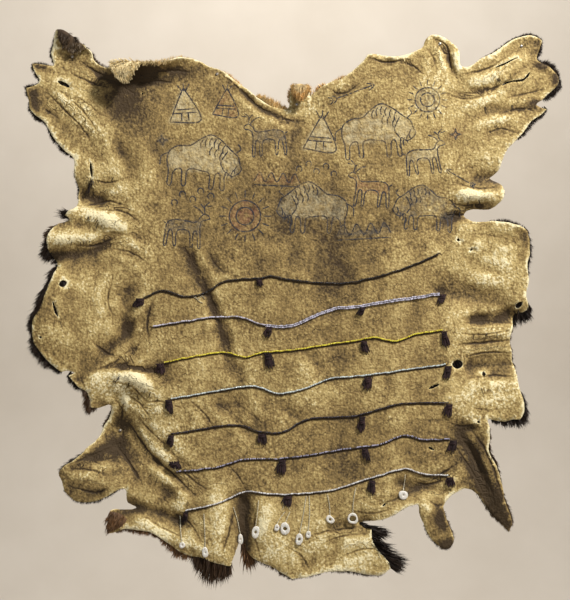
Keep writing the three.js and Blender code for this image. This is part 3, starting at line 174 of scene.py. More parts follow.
# Small creases that the frame leaves out, by place: path in millimetres across and up, height, half width
CREASES = {
    "long middle crease": [([(-206, -306), (-184, -364), (-164, -414), (-150, -474), (-134, -534)], -2.8, 7)],
    "left hip": [
        ([(-300, -726), (-250, -758), (-194, -796)], 3.4, 8), ([(-312, -696), (-262, -728), (-204, -780)], -3.2, 6),
        ([(-290, -660), (-240, -704), (-190, -742)], -2.4, 7)],
    "left flank": [
        ([(-366, -520), (-300, -530), (-262, -528)], -3.4, 5), ([(-366, -548), (-330, -548), (-280, -572)], 3.0, 8),
        ([(-352, -560), (-340, -592), (-346, -624)], 2.6, 7)],
    "left ribs": [
        ([(-452, -284), (-400, -286), (-350, -262)], -2.6, 6),
        ([(-460, -232), (-410, -232), (-350, -250), (-300, -300)], 2.8, 9),
        ([(-430, -206), (-380, -196), (-340, -206)], -2.8, 6)],
    "left belly": [
        ([(-290, -400), (-300, -440), (-296, -470)], -2.6, 5), ([(-310, -470), (-340, -520), (-400, -532)], -2.2, 6),
        ([(-300, -360), (-320, -420), (-316, -476)], 2.0, 9)],
    "left breast": [
        ([(-380, -60), (-340, -120), (-330, -190)], -2.2, 9), ([(-340, -40), (-300, -110), (-290, -180)], 2.0, 10)],
    "left knee": [
        ([(-440, -742), (-390, -730), (-340, -700)], 3.0, 8), ([(-446, -718), (-400, -700), (-350, -680)], -2.4, 6)],
    "left hem": [([(-330, -826), (-280, -842), (-220, -872), (-160, -892)], 2.4, 8)],
    "rump": [
        ([(-90, -880), (-70, -840), (-60, -800)], 2.8, 8), ([(-98, -884), (-104, -830), (-96, -790)], -3.0, 7),
        ([(60, -920), (76, -880), (70, -846)], -2.0, 8)],
    "right hind": [
        ([(340, -650), (372, -700), (396, -770), (410, -820)], 3.0, 8),
        ([(326, -664), (356, -720), (376, -780)], -2.8, 6)],
    "right hind, inner": [
        ([(250, -760), (290, -760), (330, -740)], 2.6, 7), ([(240, -744), (280, -742), (320, -716)], -2.8, 6)],
    "right belly": [
        ([(330, -560), (380, -560), (430, -556)], 2.6, 8), ([(322, -482), (370, -480), (424, -474)], -2.8, 6)],
    "right flank": [
        ([(330, -420), (390, -410), (450, -390)], 2.6, 9), ([(320, -440), (380, -436), (430, -440)], -2.6, 7)],
    "right ribs": [
        ([(310, -184), (360, -186), (406, -182)], 2.6, 8), ([(300, -226), (340, -222), (376, -214)], -3.0, 6)],
    "right foreleg": [
        ([(320, 40), (380, 52), (450, 92), (480, 112)], 2.6, 8), ([(318, 20), (380, 26), (440, 52)], -2.4, 6),
        ([(330, -30), (390, -10), (450, -16)], -2.2, 8), ([(340, -60), (400, -34), (460, -34)], 2.0, 8)],
    "shoulder point": [
        ([(276, 132), (302, 116), (308, 82), (320, 56)], -3.4, 5),
        ([(288, 134), (316, 112), (322, 80), (332, 60)], 2.8, 5)],
    "neck": [
        ([(-150, 60), (-110, 26), (-70, -10), (-30, -26)], -2.4, 6), ([(30, 4), (70, 30), (110, 52)], 2.0, 7)],
    "left foreleg": [
        ([(-500, 20), (-440, -40), (-410, -80)], -2.6, 4), ([(-480, 30), (-430, -14), (-396, -60)], -2.2, 4),
        ([(-462, 20), (-420, 0), (-392, -24)], -1.8, 4), ([(-508, -10), (-480, -28)], -1.6, 4),
        ([(-450, 60), (-416, 44), (-380, 34)], -2.4, 4), ([(-430, 84), (-400, 62), (-372, 52)], -2.4, 4)],
    "shoulder bone": [([(-404, 56), (-360, 44), (-330, 20)], -2.4, 6)],
    "left rib wrinkles": [
        ([(-420, -150), (-380, -160), (-340, -150)], -2.2, 6), ([(-400, -212), (-350, -216), (-318, -236)], -2.8, 6),
        ([(-398, -262), (-350, -262), (-300, -276)], -2.4, 7), ([(-370, -292), (-330, -300), (-298, -322)], -2.0, 6)],
    "left spot": [([(-334, -256), (-316, -266)], -2.2, 6)],
    "left belly wrinkles": [
        ([(-366, -344), (-376, -390), (-366, -430)], -2.0, 6), ([(-330, -490), (-366, -520), (-408, -534)], -2.6, 5),
        ([(-412, -470), (-380, -500), (-352, -506)], -2.0, 5)],
    "left flank wrinkles": [
        ([(-372, -556), (-332, -566), (-298, -600)], -3.2, 6), ([(-344, -576), (-312, -604), (-292, -632)], -2.6, 5),
        ([(-366, -590), (-350, -612), (-352, -640)], -2.0, 5)],
    "left hip wrinkles": [
        ([(-338, -640), (-306, -684), (-276, -716)], -3.0, 6), ([(-322, -626), (-284, -664), (-250, -690)], -2.2, 6),
        ([(-366, -684), (-336, -716), (-310, -754)], -2.8, 5)],
    "left hind wrinkles": [
        ([(-452, -728), (-412, -730), (-372, -742)], -2.2, 5), ([(-444, -764), (-402, -776), (-372, -766)], -2.4, 5),
        ([(-420, -700), (-392, -712), (-362, -708)], -2.0, 5)],
    "left hem wrinkles": [
        ([(-300, -824), (-262, -846), (-226, -862)], -2.6, 6), ([(-250, -812), (-210, -838), (-190, -868)], -2.2, 6)],
    "tail wrinkles": [
        ([(-126, -812), (-134, -850), (-148, -894)], -2.4, 5), ([(-84, -820), (-84, -856), (-74, -900)], -2.2, 6)],
    "rump wrinkles": [
        ([(-20, -880), (10, -900), (24, -930)], -1.8, 6), ([(20, -862), (66, -850), (120, -846)], -2.2, 6),
        ([(48, -876), (92, -860), (134, -858)], -2.0, 5), ([(90, -900), (130, -886), (158, -888)], -2.0, 6)],
    "right hem wrinkles": [
        ([(146, -800), (190, -790), (236, -772)], -2.6, 7), ([(110, -812), (150, -816), (186, -806)], -2.0, 5)],
    "strip wrinkles": [
        ([(236, -756), (262, -762), (300, -748)], -3.0, 6), ([(256, -786), (276, -800), (294, -796)], -2.0, 5)],
    "right hind wrinkles": [
        ([(330, -668), (356, -712), (386, -776)], -2.8, 5), ([(346, -652), (378, -702), (404, -780)], -2.6, 5),
        ([(318, -690), (346, -732), (372, -782)], -2.4, 5)],
    "right hip wrinkles": [([(306, -640), (330, -646), (362, -640)], -2.2, 6)],
    "right belly wrinkles": [
        ([(336, -508), (372, -500), (426, -500)], -2.8, 6), ([(350, -548), (392, -544), (430, -546)], -2.2, 6),
        ([(330, -460), (364, -464), (420, -456)], -2.2, 6), ([(330, -600), (370, -612), (420, -610)], -2.0, 7)],
    "right flank wrinkles": [
        ([(300, -350), (350, -372), (400, -380)], -2.2, 8), ([(326, -300), (380, -330), (440, -350)], -1.8, 8),
        ([(340, -262), (390, -266), (440, -280)], -2.0, 7)],
    "right rib wrinkles": [
        ([(300, -200), (340, -206), (380, -200)], -2.2, 6), ([(320, -160), (356, -170), (402, -170)], -2.2, 6)],
    "right shoulder wrinkles": [
        ([(300, 20), (340, 10), (400, 20)], -2.2, 6), ([(336, 60), (380, 70), (430, 100)], -2.4, 5),
        ([(350, 30), (400, 34), (450, 70)], -2.0, 5)],
    "right fore wrinkles": [
        ([(420, 10), (456, 20), (500, 30)], -2.0, 5), ([(410, -20), (446, -10), (480, -16)], -2.0, 5),
        ([(380, -60), (410, -50), (440, -60)], -1.8, 6)],
    "shoulder point wrinkles": [
        ([(280, 128), (300, 100), (312, 66)], -2.6, 4), ([(262, 110), (276, 92), (280, 64)], -1.8, 5)],
    "neck wrinkles": [
        ([(142, 92), (182, 84), (226, 90)], -3.2, 4), ([(210, 84), (236, 76), (252, 62)], -2.6, 4),
        ([(60, 34), (90, 20), (126, 40)], -2.0, 5), ([(-60, -12), (-30, -30), (14, -34)], -2.4, 5),
        ([(-120, 34), (-92, 6), (-60, -20)], -2.4, 5)],
    "under the curl": [
        ([(-340, 40), (-300, 46), (-250, 44)], -2.6, 6), ([(-300, 62), (-260, 66), (-214, 64)], -2.0, 5)],
    "middle crease": [
        ([(-228, -280), (-214, -310), (-206, -336)], -2.8, 7), ([(-180, -296), (-160, -326), (-140, -344)], -2.6, 7),
        ([(-212, -344), (-182, -380), (-166, -426)], -2.4, 7), ([(-150, -434), (-140, -470), (-132, -500)], -2.6, 7),
        ([(-130, -512), (-112, -550), (-104, -590)], -2.0, 8)],
    "lap": [
        ([(-206, -600), (-180, -626), (-166, -650)], -2.2, 6), ([(-170, -596), (-130, -620), (-90, -660)], -2.2, 7),
        ([(-120, -600), (-92, -622), (-60, -648)], -2.0, 7), ([(-34, -600), (0, -622), (30, -616)], -2.0, 8),
        ([(-250, -700), (-220, -740), (-180, -770)], -2.2, 6), ([(-140, -720), (-116, -744), (-102, -768)], -1.8, 6)],
    "string rows": [
        ([(-358, -532), (-320, -534), (-276, -538)], -2.8, 4), ([(-300, -600), (-276, -596), (-256, -600)], -2.0, 5)],
    "middle sags": [
        ([(100, -330), (120, -380), (110, -430)], -1.6, 10), ([(0, -480), (40, -520), (60, -556)], -1.6, 10),
        ([(150, -500), (180, -560), (170, -620)], -1.6, 10), ([(220, -360), (236, -410), (226, -470)], -1.6, 10)],
    "breast": [
        ([(0, -30), (-14, -90), (-6, -150)], -1.6, 12), ([(-20, -140), (-30, -220), (-10, -290)], -2.0, 14),
        ([(60, -120), (86, -190), (70, -260)], -1.4, 14)],
}

# Patches that are lighter (above zero) or darker: middle and spread in millimetres, amount
TONES = [
    ("shadowed stain", (-352, 22), (40, 50), -0.62),
    ("shadowed stain", (-330, -30), (44, 56), -0.34),
    ("left breast", (-220, -40), (90, 60), -0.02),
    ("left pale band", (-386, -110), (36, 70), 0.16),
    ("left rib", (-410, -200), (70, 60), 0.26),
    ("left foreleg", (-432, -16), (44, 56), 0.16),
    ("left belly", (-430, -420), (80, 100), 0.10),
    ("left flank", (-400, -560), (60, 30), 0.10),
    ("left knee", (-390, -732), (46, 46), -0.62),
    ("left hem", (-270, -850), (80, 30), 0.20),
    ("breast", (-30, -60), (80, 60), -0.12),
    ("neck root", (0, -16), (36, 18), 0.34),
    ("under the neck", (-60, -180), (110, 90), -0.22),
    ("centre", (-60, -260), (150, 50), -0.20),
    ("centre right", (110, -230), (110, 50), -0.16),
    ("middle", (0, -330), (190, 40), -0.16),
    ("neck, right", (110, 10), (60, 40), -0.04),
    ("right shoulder", (270, 70), (90, 60), 0.12),
    ("right arm", (400, 0), (110, 100), 0.24),
    ("right rib", (380, -180), (60, 40), 0.16),
    ("right flank", (400, -300), (70, 60), 0.22),
    ("right flank fold", (400, -400), (60, 26), -0.12),
    ("right belly", (400, -560), (50, 60), 0.14),
    ("right middle", (180, -400), (110, 60), -0.08),
    ("left middle", (-180, -480), (90, 60), 0.02),
    ("waist", (120, -600), (170, 50), 0.06),
    ("tail fold", (-104, -820), (26, 60), -0.22),
    ("rump", (60, -880), (110, 40), 0.20),
    ("right thigh", (366, -736), (36, 60), -0.66),
    ("right hind leg", (388, -776), (24, 50), -0.50),
    ("left flank fold", (-346, -584), (28, 22), 0.85),
    ("low hem", (50, -905), (120, 26), 0.46),
    ("right flank's rim", (420, -320), (50, 60), 0.36),
    ("between the lower strings", (60, -580), (60, 20), 0.16),
    ("neck root, right", (20, -16), (22, 14), 0.2),
    ("lower middle", (120, -700), (150, 60), -0.14),
    ("lower right", (280, -730), (80, 50), -0.16),
    ("upper middle", (-40, -40), (120, 50), -0.06),
    ("orange spot", (10, -816), (18, 16), 0.22),
    ("left fore tip", (-480, 60), (40, 40), 0.14),
    # Painted shadow under the rolled shoulder edge, which stands out over it.
    ("hollow under the roll", (-262, 62), (56, 10), -0.62),
    ("hollow under the roll", (-318, 60), (20, 16), -0.40),
    ("torn bit", (-272, 62), (8, 6), 1.0),
    ("upper left", (-240, -34), (50, 40), 0.10),
    ("dark line at the left hip", (-262, -716), (50, 12), -0.22),
    ("right rib tip", (390, -176), (30, 26), -0.30),
    ("left flank ridge", (-340, -584), (34, 10), 0.25),
    ("nail of the shoulder", (-160, 60), (30, 8), 0.24),
    ("cleft of the right foreleg", (496, 1), (20, 5), -2.0),
    ("right hind foot", (404, -812), (16, 34), -1.1),
    ("strip's pale root", (262, -762), (44, 26), 0.62),
    ("strip's dark middle", (280, -826), (13, 22), -1.2),
    ("strip's dark foot", (298, -880), (20, 9), -1.6),
    ("strip's pale side", (258, -812), (8, 26), 0.4),
    ("right flank's dark corner", (458, -266), (9, 34), -0.9),
    ("right rib tongue", (396, -162), (44, 9), -0.34),
    ("left hind leg", (-392, -652), (28, 22), 0.36),
    ("left hip", (-240, -690), (30, 20), 0.20),
    ("right foreleg's dark end", (522, 46), (6, 24), -2.0),
    ("right foreleg's dark end", (502, 78), (16, 6), -1.8),
    ("right foreleg's dark end", (486, 112), (9, 20), -1.1),
    ("right foreleg's dark end", (496, -6), (22, 6), -0.9),
    ("left foreleg's dark end", (-528, 6), (9, 30), -1.2),
    ("left foreleg's dark end", (-514, 76), (22, 5), -1.1),
    ("left foreleg's pale edge", (-492, 134), (5, 16), 0.5),
    ("left belly's dark edge", (-500, -420), (14, 60), -0.35),
    ("below the neck tab", (26, -4), (20, 16), 0.30),
]


def seeded(name):
    """A random source of its own for each piece, the same in every run."""
    return random.Random(f"hide robe {name}")


# Node helpers

def set_inputs(tree, node, inputs):
    """Links each of a node's inputs to a socket, or sets it to a value."""
    for key, value in inputs.items():
        if isinstance(value, bpy.types.NodeSocket):
            tree.links.new(value, node.inputs[key])
        else:
            node.inputs[key].default_value = value


def add_node(tree, kind, inputs=None, **settings):
    made = tree.nodes.new(kind)
    for key, value in settings.items():
        setattr(made, key, value)
    set_inputs(tree, made, inputs or {})
    return made


def result_of(tree, kind, inputs=None, **settings):
    return add_node(tree, kind, inputs, **settings).outputs[0]


def maths(tree, operation, a, b=0.0, clamp=False):
    return result_of(tree, "ShaderNodeMath", {0: a, 1: b}, operation=operation, use_clamp=clamp)


def plus(tree, a, b, clamp=False):
    return maths(tree, "ADD", a, b, clamp)


def times(tree, a, b):
    return maths(tree, "MULTIPLY", a, b)


def add_shares(tree, total, shares, middle=0.0):
    """A total with a share of each value added, the value taken off its middle first."""
    for value, weight in shares:
        if middle:
            value = maths(tree, "SUBTRACT", value, middle)
        total = plus(tree, total, times(tree, value, weight))
    return total


def mix_colour(tree, share, a, b, blend="MIX"):
    a, b = (value if isinstance(value, bpy.types.NodeSocket) else (*value, 1.0) for value in (a, b))
    return add_node(tree, "ShaderNodeMix", {0: share, 6: a, 7: b}, data_type="RGBA", blend_type=blend).outputs[2]


def ramp(tree, value, stops):
    made = add_node(tree, "ShaderNodeValToRGB", {0: value})
    elements = made.color_ramp.elements
    while len(elements) < len(stops):
        elements.new(0.5)
    for element, (place, colour) in zip(elements, stops):
        element.position = place
        element.color = (*colour, 1.0) if len(colour) == 3 else colour
    return made.outputs[0]


def new_material(name):
    made = bpy.data.materials.new(name)
    made.use_nodes = True
    tree = made.node_tree
    return made, tree, tree.nodes["Principled BSDF"]


def bell(tree, value, middle, spread):
    """One where the value is the middle one, falling to nothing a few spreads away."""
    off = maths(tree, "DIVIDE", maths(tree, "SUBTRACT", value, middle), spread)
    return maths(tree, "EXPONENT", times(tree, times(tree, off, off), -0.5))


def object_coordinates(tree):
    return add_node(tree, "ShaderNodeTexCoord").outputs["Object"]


def noise_value(tree, place, scale, detail=3.0, roughness=0.5, distortion=0.0):
    return result_of(tree, "ShaderNodeTexNoise", {
        "Vector": place, "Scale": scale, "Detail": detail, "Roughness": roughness, "Distortion": distortion})


def attribute(tree, name, output="Fac"):
    return add_node(tree, "ShaderNodeAttribute", attribute_name=name).outputs[output]


def add_bump(tree, shader, height, distance):
    set_inputs(tree, shader, {"Normal": result_of(tree, "ShaderNodeBump", {
        "Height": height, "Distance": distance, "Strength": 1.0})})


# Mesh helpers

def object_from(name, vertices, faces, edges=()):
    mesh = bpy.data.meshes.new(name)
    mesh.from_pydata([tuple(v) for v in vertices], list(edges), list(faces))
    mesh.update()
    made = bpy.data.objects.new(name, mesh)
    bpy.context.scene.collection.objects.link(made)
    return made


def set_floats(mesh, name, values, kind="FLOAT", item="value"):
    layer = mesh.attributes.new(name, kind, "POINT")
    layer.data.foreach_set(item, np.asarray(values, np.float32).ravel())


def set_vectors(mesh, name, values):
    set_floats(mesh, name, values, "FLOAT_VECTOR", "vector")


def set_colours(mesh, name, values):
    set_floats(mesh, name, values, "FLOAT_COLOR", "color")


def positions(mesh):
    flat = np.zeros(len(mesh.vertices) * 3, np.float32)
    mesh.vertices.foreach_get("co", flat)
    return flat.reshape(-1, 3).astype(float)


def normals(mesh):
    flat = np.zeros(len(mesh.vertices) * 3, np.float32)
    mesh.vertex_normals.foreach_get("vector", flat)
    return flat.reshape(-1, 3).astype(float)


def apply_modifiers(made):
    """Turns an object's modifiers into its plain mesh."""
    bpy.context.view_layer.update()
    evaluated = made.evaluated_get(bpy.context.evaluated_depsgraph_get())
    mesh = bpy.data.meshes.new_from_object(evaluated)
    made.modifiers.clear()
    old = made.data
    made.data = mesh
    bpy.data.meshes.remove(old)
    mesh.name = made.name
    return made


def forget(*objects):
    for made in objects:
        mesh = made.data
        bpy.data.objects.remove(made)
        if mesh is not None and mesh.users == 0:
            bpy.data.meshes.remove(mesh)


def shade_smooth(mesh):
    mesh.polygons.foreach_set("use_smooth", np.ones(len(mesh.polygons), bool))


def finish_piece(made, slot, *nodes):
    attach(made, BODY)
    if nodes:
        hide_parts(*nodes)
    return made


def merged_copy(node):
    """A bmesh of a CAD node with its loose triangles joined."""
    mesh = bmesh.new()
    mesh.from_mesh(frame["nodes"][node].data)
    bmesh.ops.remove_doubles(mesh, verts=mesh.verts, dist=2e-6)
    return mesh


def smooth_line(points, step):
    """Points at even steps along a Catmull-Rom curve through the given ones."""
    points = [np.array(p, float) for p in points]
    ends = [2 * points[0] - points[1], *points, 2 * points[-1] - points[-2]]
    dense = []
    for a, b, c, d in zip(ends, ends[1:], ends[2:], ends[3:]):
        for share in np.linspace(0, 1, 12, endpoint=False):
            dense.append(0.5 * (2 * b + (c - a) * share + (2 * a - 5 * b + 4 * c - d) * share ** 2
                                + (3 * b - a - 3 * c + d) * share ** 3))
    dense = np.array([*dense, points[-1]])
    along = np.concatenate([[0], np.cumsum(np.linalg.norm(np.diff(dense, axis=0), axis=1))])
    count = max(2, int(round(along[-1] / step)) + 1)
    places = np.linspace(0, along[-1], count)
    return np.stack([np.interp(places, along, dense[:, axis]) for axis in range(dense.shape[1])], axis=1)


def path_distance(places, path):
    """Each place's distance from a line in the same plane, signed by its side, and how far along it is."""
    best, along = np.full(len(places), 1e9), np.zeros(len(places))
    for i, (a, b) in enumerate(zip(path, path[1:])):
        a, b = np.array(a, float), np.array(b, float)
        span = b - a
        share = np.clip(((places - a) @ span) / (span @ span), 0, 1)
        away = places - a - share[:, None] * span
        side = np.where(span[0] * away[:, 1] - span[1] * away[:, 0] < 0, -1.0, 1.0)
        reach = side * np.linalg.norm(away, axis=1)
        closer = np.abs(reach) < np.abs(best)
        best = np.where(closer, reach, best)
        along = np.where(closer, (i + share) / (len(path) - 1), along)
    return best, along


def noise_field(places, scale, offset=0.0, octaves=1):
    """Smooth noise about zero at each place, in cycles for each metre."""
    total = np.zeros(len(places))
    for octave in range(octaves):
        factor = scale * 2 ** octave
        total += np.array([noise.noise(Vector(p * factor) + Vector((offset, offset * 2, 0)))
                           for p in places]) / 2 ** octave
    return total


# The skin's surface, shared by the pieces that lie on it

def string_line(number, step):
    """A string's line in the frame, in millimetres across and up."""
    mesh = merged_copy(f"bead_string_{number}")
    points = np.array([v.co for v in mesh.verts])
    mesh.free()
    points = points[np.argsort(points[:, 0], kind="stable")]
    middles = points[:len(points) // 4 * 4].reshape(-1, 4, 3).mean(axis=1) / MM
    line = smooth_line(middles[:, [0, 2]], step)
    line[:, 1] += [1.5 * noise.noise((x / 16, number * 7.3, 0)) + 0.8 * noise.noise((x / 7, number * 3.1, 4))
                   for x in line[:, 0]]
    return line


def nearest_of(points, chosen):
    near = KDTree(len(chosen))
    for i in chosen:
        near.insert(points[i], i)
    near.balance()
    return near


def distances_to(points, chosen):
    """How far each point is from the nearest of the chosen ones."""
    near = nearest_of(points, chosen)
    return np.array([near.find(p)[2] for p in points])


class Surface:
    """The bare side of the finished skin: its points, what is painted on them, and what is nearest."""

    def build(self, settings):
        sheet = self.frame_sheet()
        made = object_from("skin_sheet", *sheet)
        smoother = made.modifiers.new("Round", "SUBSURF")
        smoother.levels = smoother.render_levels = settings.rounding
        smoother.boundary_smooth = "PRESERVE_CORNERS"
        apply_modifiers(made)
        mesh = made.data
        self.find_edges(mesh)
        self.shape(mesh, settings)
        self.colour(mesh)
        self.mesh = mesh
        self.object = made
        self.points = positions(mesh)
        self.normals = normals(mesh)
        self.tree = BVHTree.FromPolygons([tuple(p) for p in self.points],
                                         [tuple(f.vertices) for f in mesh.polygons])
        self.near = nearest_of(self.points, range(len(self.points)))

    def frame_sheet(self):
        """The room side of the CAD wall: its rim faces each hold an edge as long as it is thick."""
        mesh = merged_copy("hide")
        rim = [f for f in mesh.faces if any(abs(e.calc_length() - LEATHER) < 8e-6 for e in f.edges)]
        bmesh.ops.delete(mesh, geom=rim, context="FACES")
        mesh.verts.index_update()
        mesh.faces.index_update()
        reached, sheets = set(), []
        for first in mesh.faces:
            if first.index in reached:
                continue
            reached.add(first.index)
            stack, found = [first], []
            while stack:
                face = stack.pop()
                found.append(face)
                for other in (o for edge in face.edges for o in edge.link_faces):
                    if other.index not in reached:
                        reached.add(other.index)
                        stack.append(other)
            sheets.append(sorted(found, key=lambda f: f.index))
        sheets.sort(key=len, reverse=True)
        front = min(sheets[:2], key=lambda faces: sum(f.normal.y for f in faces))
        order = {v: i for i, v in enumerate(sorted({v for f in front for v in f.verts}, key=lambda v: v.index))}
        faces = [[order[v] for v in f.verts] for f in front]
        vertices = [tuple(v.co) for v in order]
        mesh.free()
        return vertices, faces

    def find_edges(self, mesh):
        """The loops of the open edges, the longest first, as lists of vertices."""
        sides = set()
        for face in mesh.polygons:
            ring = list(face.vertices)
            sides.update(zip(ring, ring[1:] + ring[:1]))
        after = {}
        for start, end in sides:
            if (end, start) not in sides:
                after.setdefault(end, []).append(start)
        loops = []
        for start in sorted(after):
            at, loop = start, []
            while after.get(at):
                loop.append(at)
                at = after[at].pop()
            if loop:
                loops.append(loop)
        points = positions(mesh)
        loops.sort(key=lambda loop: -np.linalg.norm(np.ptp(points[loop], axis=0)))
        self.loops = loops

    def shape(self, mesh, settings):
        points, outwards = positions(mesh), normals(mesh)
        gap = self.gap = distances_to(points, sum(self.loops, []))
        self.outer_gap = distances_to(points, self.loops[0])
        flat = points[:, [0, 2]] / MM
        creases = np.zeros(len(points))
        # Distance to the nearest sunken crease and how strongly it shows; the skin material paints a dark line of shade
        # in it and a lighter lip beside it.
        across, deep = np.full(len(points), 30.0), np.zeros(len(points))
        for path, rise, half in sum(CREASES.values(), []):
            away, along = path_distance(flat, smooth_line(path, 8))
            ends = np.sin(math.pi * np.clip(along, 0.04, 0.96)) ** 0.6
            near = np.abs(away) / half
            profile = np.exp(-0.5 * near ** 2) - 0.35 * np.exp(-0.5 * (near - 2.4) ** 2)
            creases += settings.crease * rise * ends * profile
            closer = (np.abs(away) < np.abs(across)) & (rise < 0)
            across = np.where(closer, away, across)
            deep = np.where(closer, ends * min(1.0, -rise / 3.0) * min(1.0, max(0.0, (7.6 - half) / 1.6)), deep)
        self.across, self.deep = across, deep
        creases *= 1.0 + 0.55 * noise_field(points, 45, 3)
        fade = np.clip(gap / (12 * MM), 0.25, 1)
        small = (settings.swell * noise_field(points, 9, 1) + settings.cockle * noise_field(points, 28, 2, 2)
                 + 0.4 * settings.cockle * noise_field(points, 85, 4, 2))
        lift = (creases * MM + small) * fade
        lift += settings.curl * np.exp(-gap / (5 * MM)) * (0.55 + noise_field(points, 30, 5))
        for number in NAILS:
            middle = positions(frame["nodes"][f"nail_{number}"].data).mean(axis=0)[[0, 2]]
            away = np.linalg.norm(points[:, [0, 2]] - middle, axis=1)
            lift = lift * np.clip(away / NAIL_REACH, 0, 1) ** 2
        wander = np.zeros(points.shape)
        for axis, offset in ((0, 11), (2, 21)):
            wander[:, axis] = 0.8 * noise_field(points, 55, offset) + 0.5 * noise_field(points, 160, offset + 1)
        moved = points + outwards * lift[:, None]
        across_tab, up_tab = moved[:, 0] - NECK_TAB[0], moved[:, 2] - NECK_TAB[1]
        away = np.hypot(across_tab, up_tab)
        tab = (up_tab > 0) & (away > NECK_TAB_RADIUS) & (away < 32 * MM) & (np.abs(across_tab) < 24 * MM)
        shrink = np.where(tab, NECK_TAB_RADIUS / np.maximum(away, MM), 1.0)
        moved[:, 0] = NECK_TAB[0] + across_tab * shrink
        moved[:, 2] = NECK_TAB[1] + up_tab * shrink
        moved += wander * (settings.ragged * np.exp(-gap / (4 * MM)))[:, None]
        mesh.vertices.foreach_set("co", moved.astype(np.float32).ravel())
        mesh.update()

    def colour(self, mesh):
        points = positions(mesh)
        edges = np.zeros(len(mesh.edges) * 2, np.int32)
        mesh.edges.foreach_get("vertices", edges)
        a, b = edges.reshape(-1, 2).T
        count = np.bincount(a, minlength=len(points)) + np.bincount(b, minlength=len(points))
        # relief and fold: how far each point stands out from its smoothed neighbours, finely and broadly, by which the
        # skin material paints highlight on ridges and shade in hollows.
        smoothed = points[:, 1].copy()
        reliefs = []
        for rounds, height in ((14, 2.6 * MM), (110, 7.0 * MM)):
            for _ in range(rounds):
                total = (np.bincount(a, smoothed[b], minlength=len(points))
                         + np.bincount(b, smoothed[a], minlength=len(points)))
                smoothed = 0.5 * smoothed + 0.5 * total / count
            reliefs.append(np.clip((smoothed - points[:, 1]) / height, -1.5, 1.5))
        relief, fold = reliefs
        flat = points[:, [0, 2]] / MM
        tone = np.zeros(len(points))
        for _, middle, spread, amount in TONES:
            reach = ((flat - np.array(middle)) / np.array(spread)) ** 2
            tone += amount * np.exp(-0.5 * reach.sum(axis=1))
        dried = np.maximum(np.exp(-self.outer_gap / (2.6 * MM)), 0.5 * np.exp(-self.gap / (1.8 * MM)))
        self.values = {"rim": dried, "relief": relief, "fold": fold, "tone": tone, "across": self.across,
                       "deep": self.deep, "string": self.string_shadow_distance(flat)}
        for name, values in self.values.items():
            set_floats(mesh, name, values)

    def string_shadow_distance(self, flat):
        """Each point's distance from the line just below the nearest string along which its shadow is painted, in
        millimetres.
        """
        best = np.full(len(flat), 30.0)
        for number in STRINGS:
            line = string_line(number, 8.0) + np.array([-0.5, -2.9])
            close = (flat[:, 1] > line[:, 1].min() - 30) & (flat[:, 1] < line[:, 1].max() + 30)
            away, _ = path_distance(flat[close], line)
            best[close] = np.where(np.abs(away) < np.abs(best[close]), away, best[close])
        return best

    def front(self, x, z, default=None):
        """The skin's front towards the room at a place, or the default where there is none."""
        hit = self.tree.ray_cast(Vector((x, ROOM_SIDE, z)), Vector((0, 1, 0)))
        return hit[0].y if hit[0] is not None else default

    def highest(self, x, z, reach):
        """How near the room the skin comes within a small patch."""
        found = [self.front(x + dx * reach, z + dz * reach, 0.0) for dx in (-1, 0, 1) for dz in (-1, 0, 1)]
        return min(found)

    def carry_values(self, mesh):
        """Copies what the skin is coloured by to a thin piece that lies on it."""
        found = [self.near.find(v.co)[1] for v in mesh.vertices]
        for name, values in self.values.items():
            set_floats(mesh, name, values[found])


SKIN = Surface()


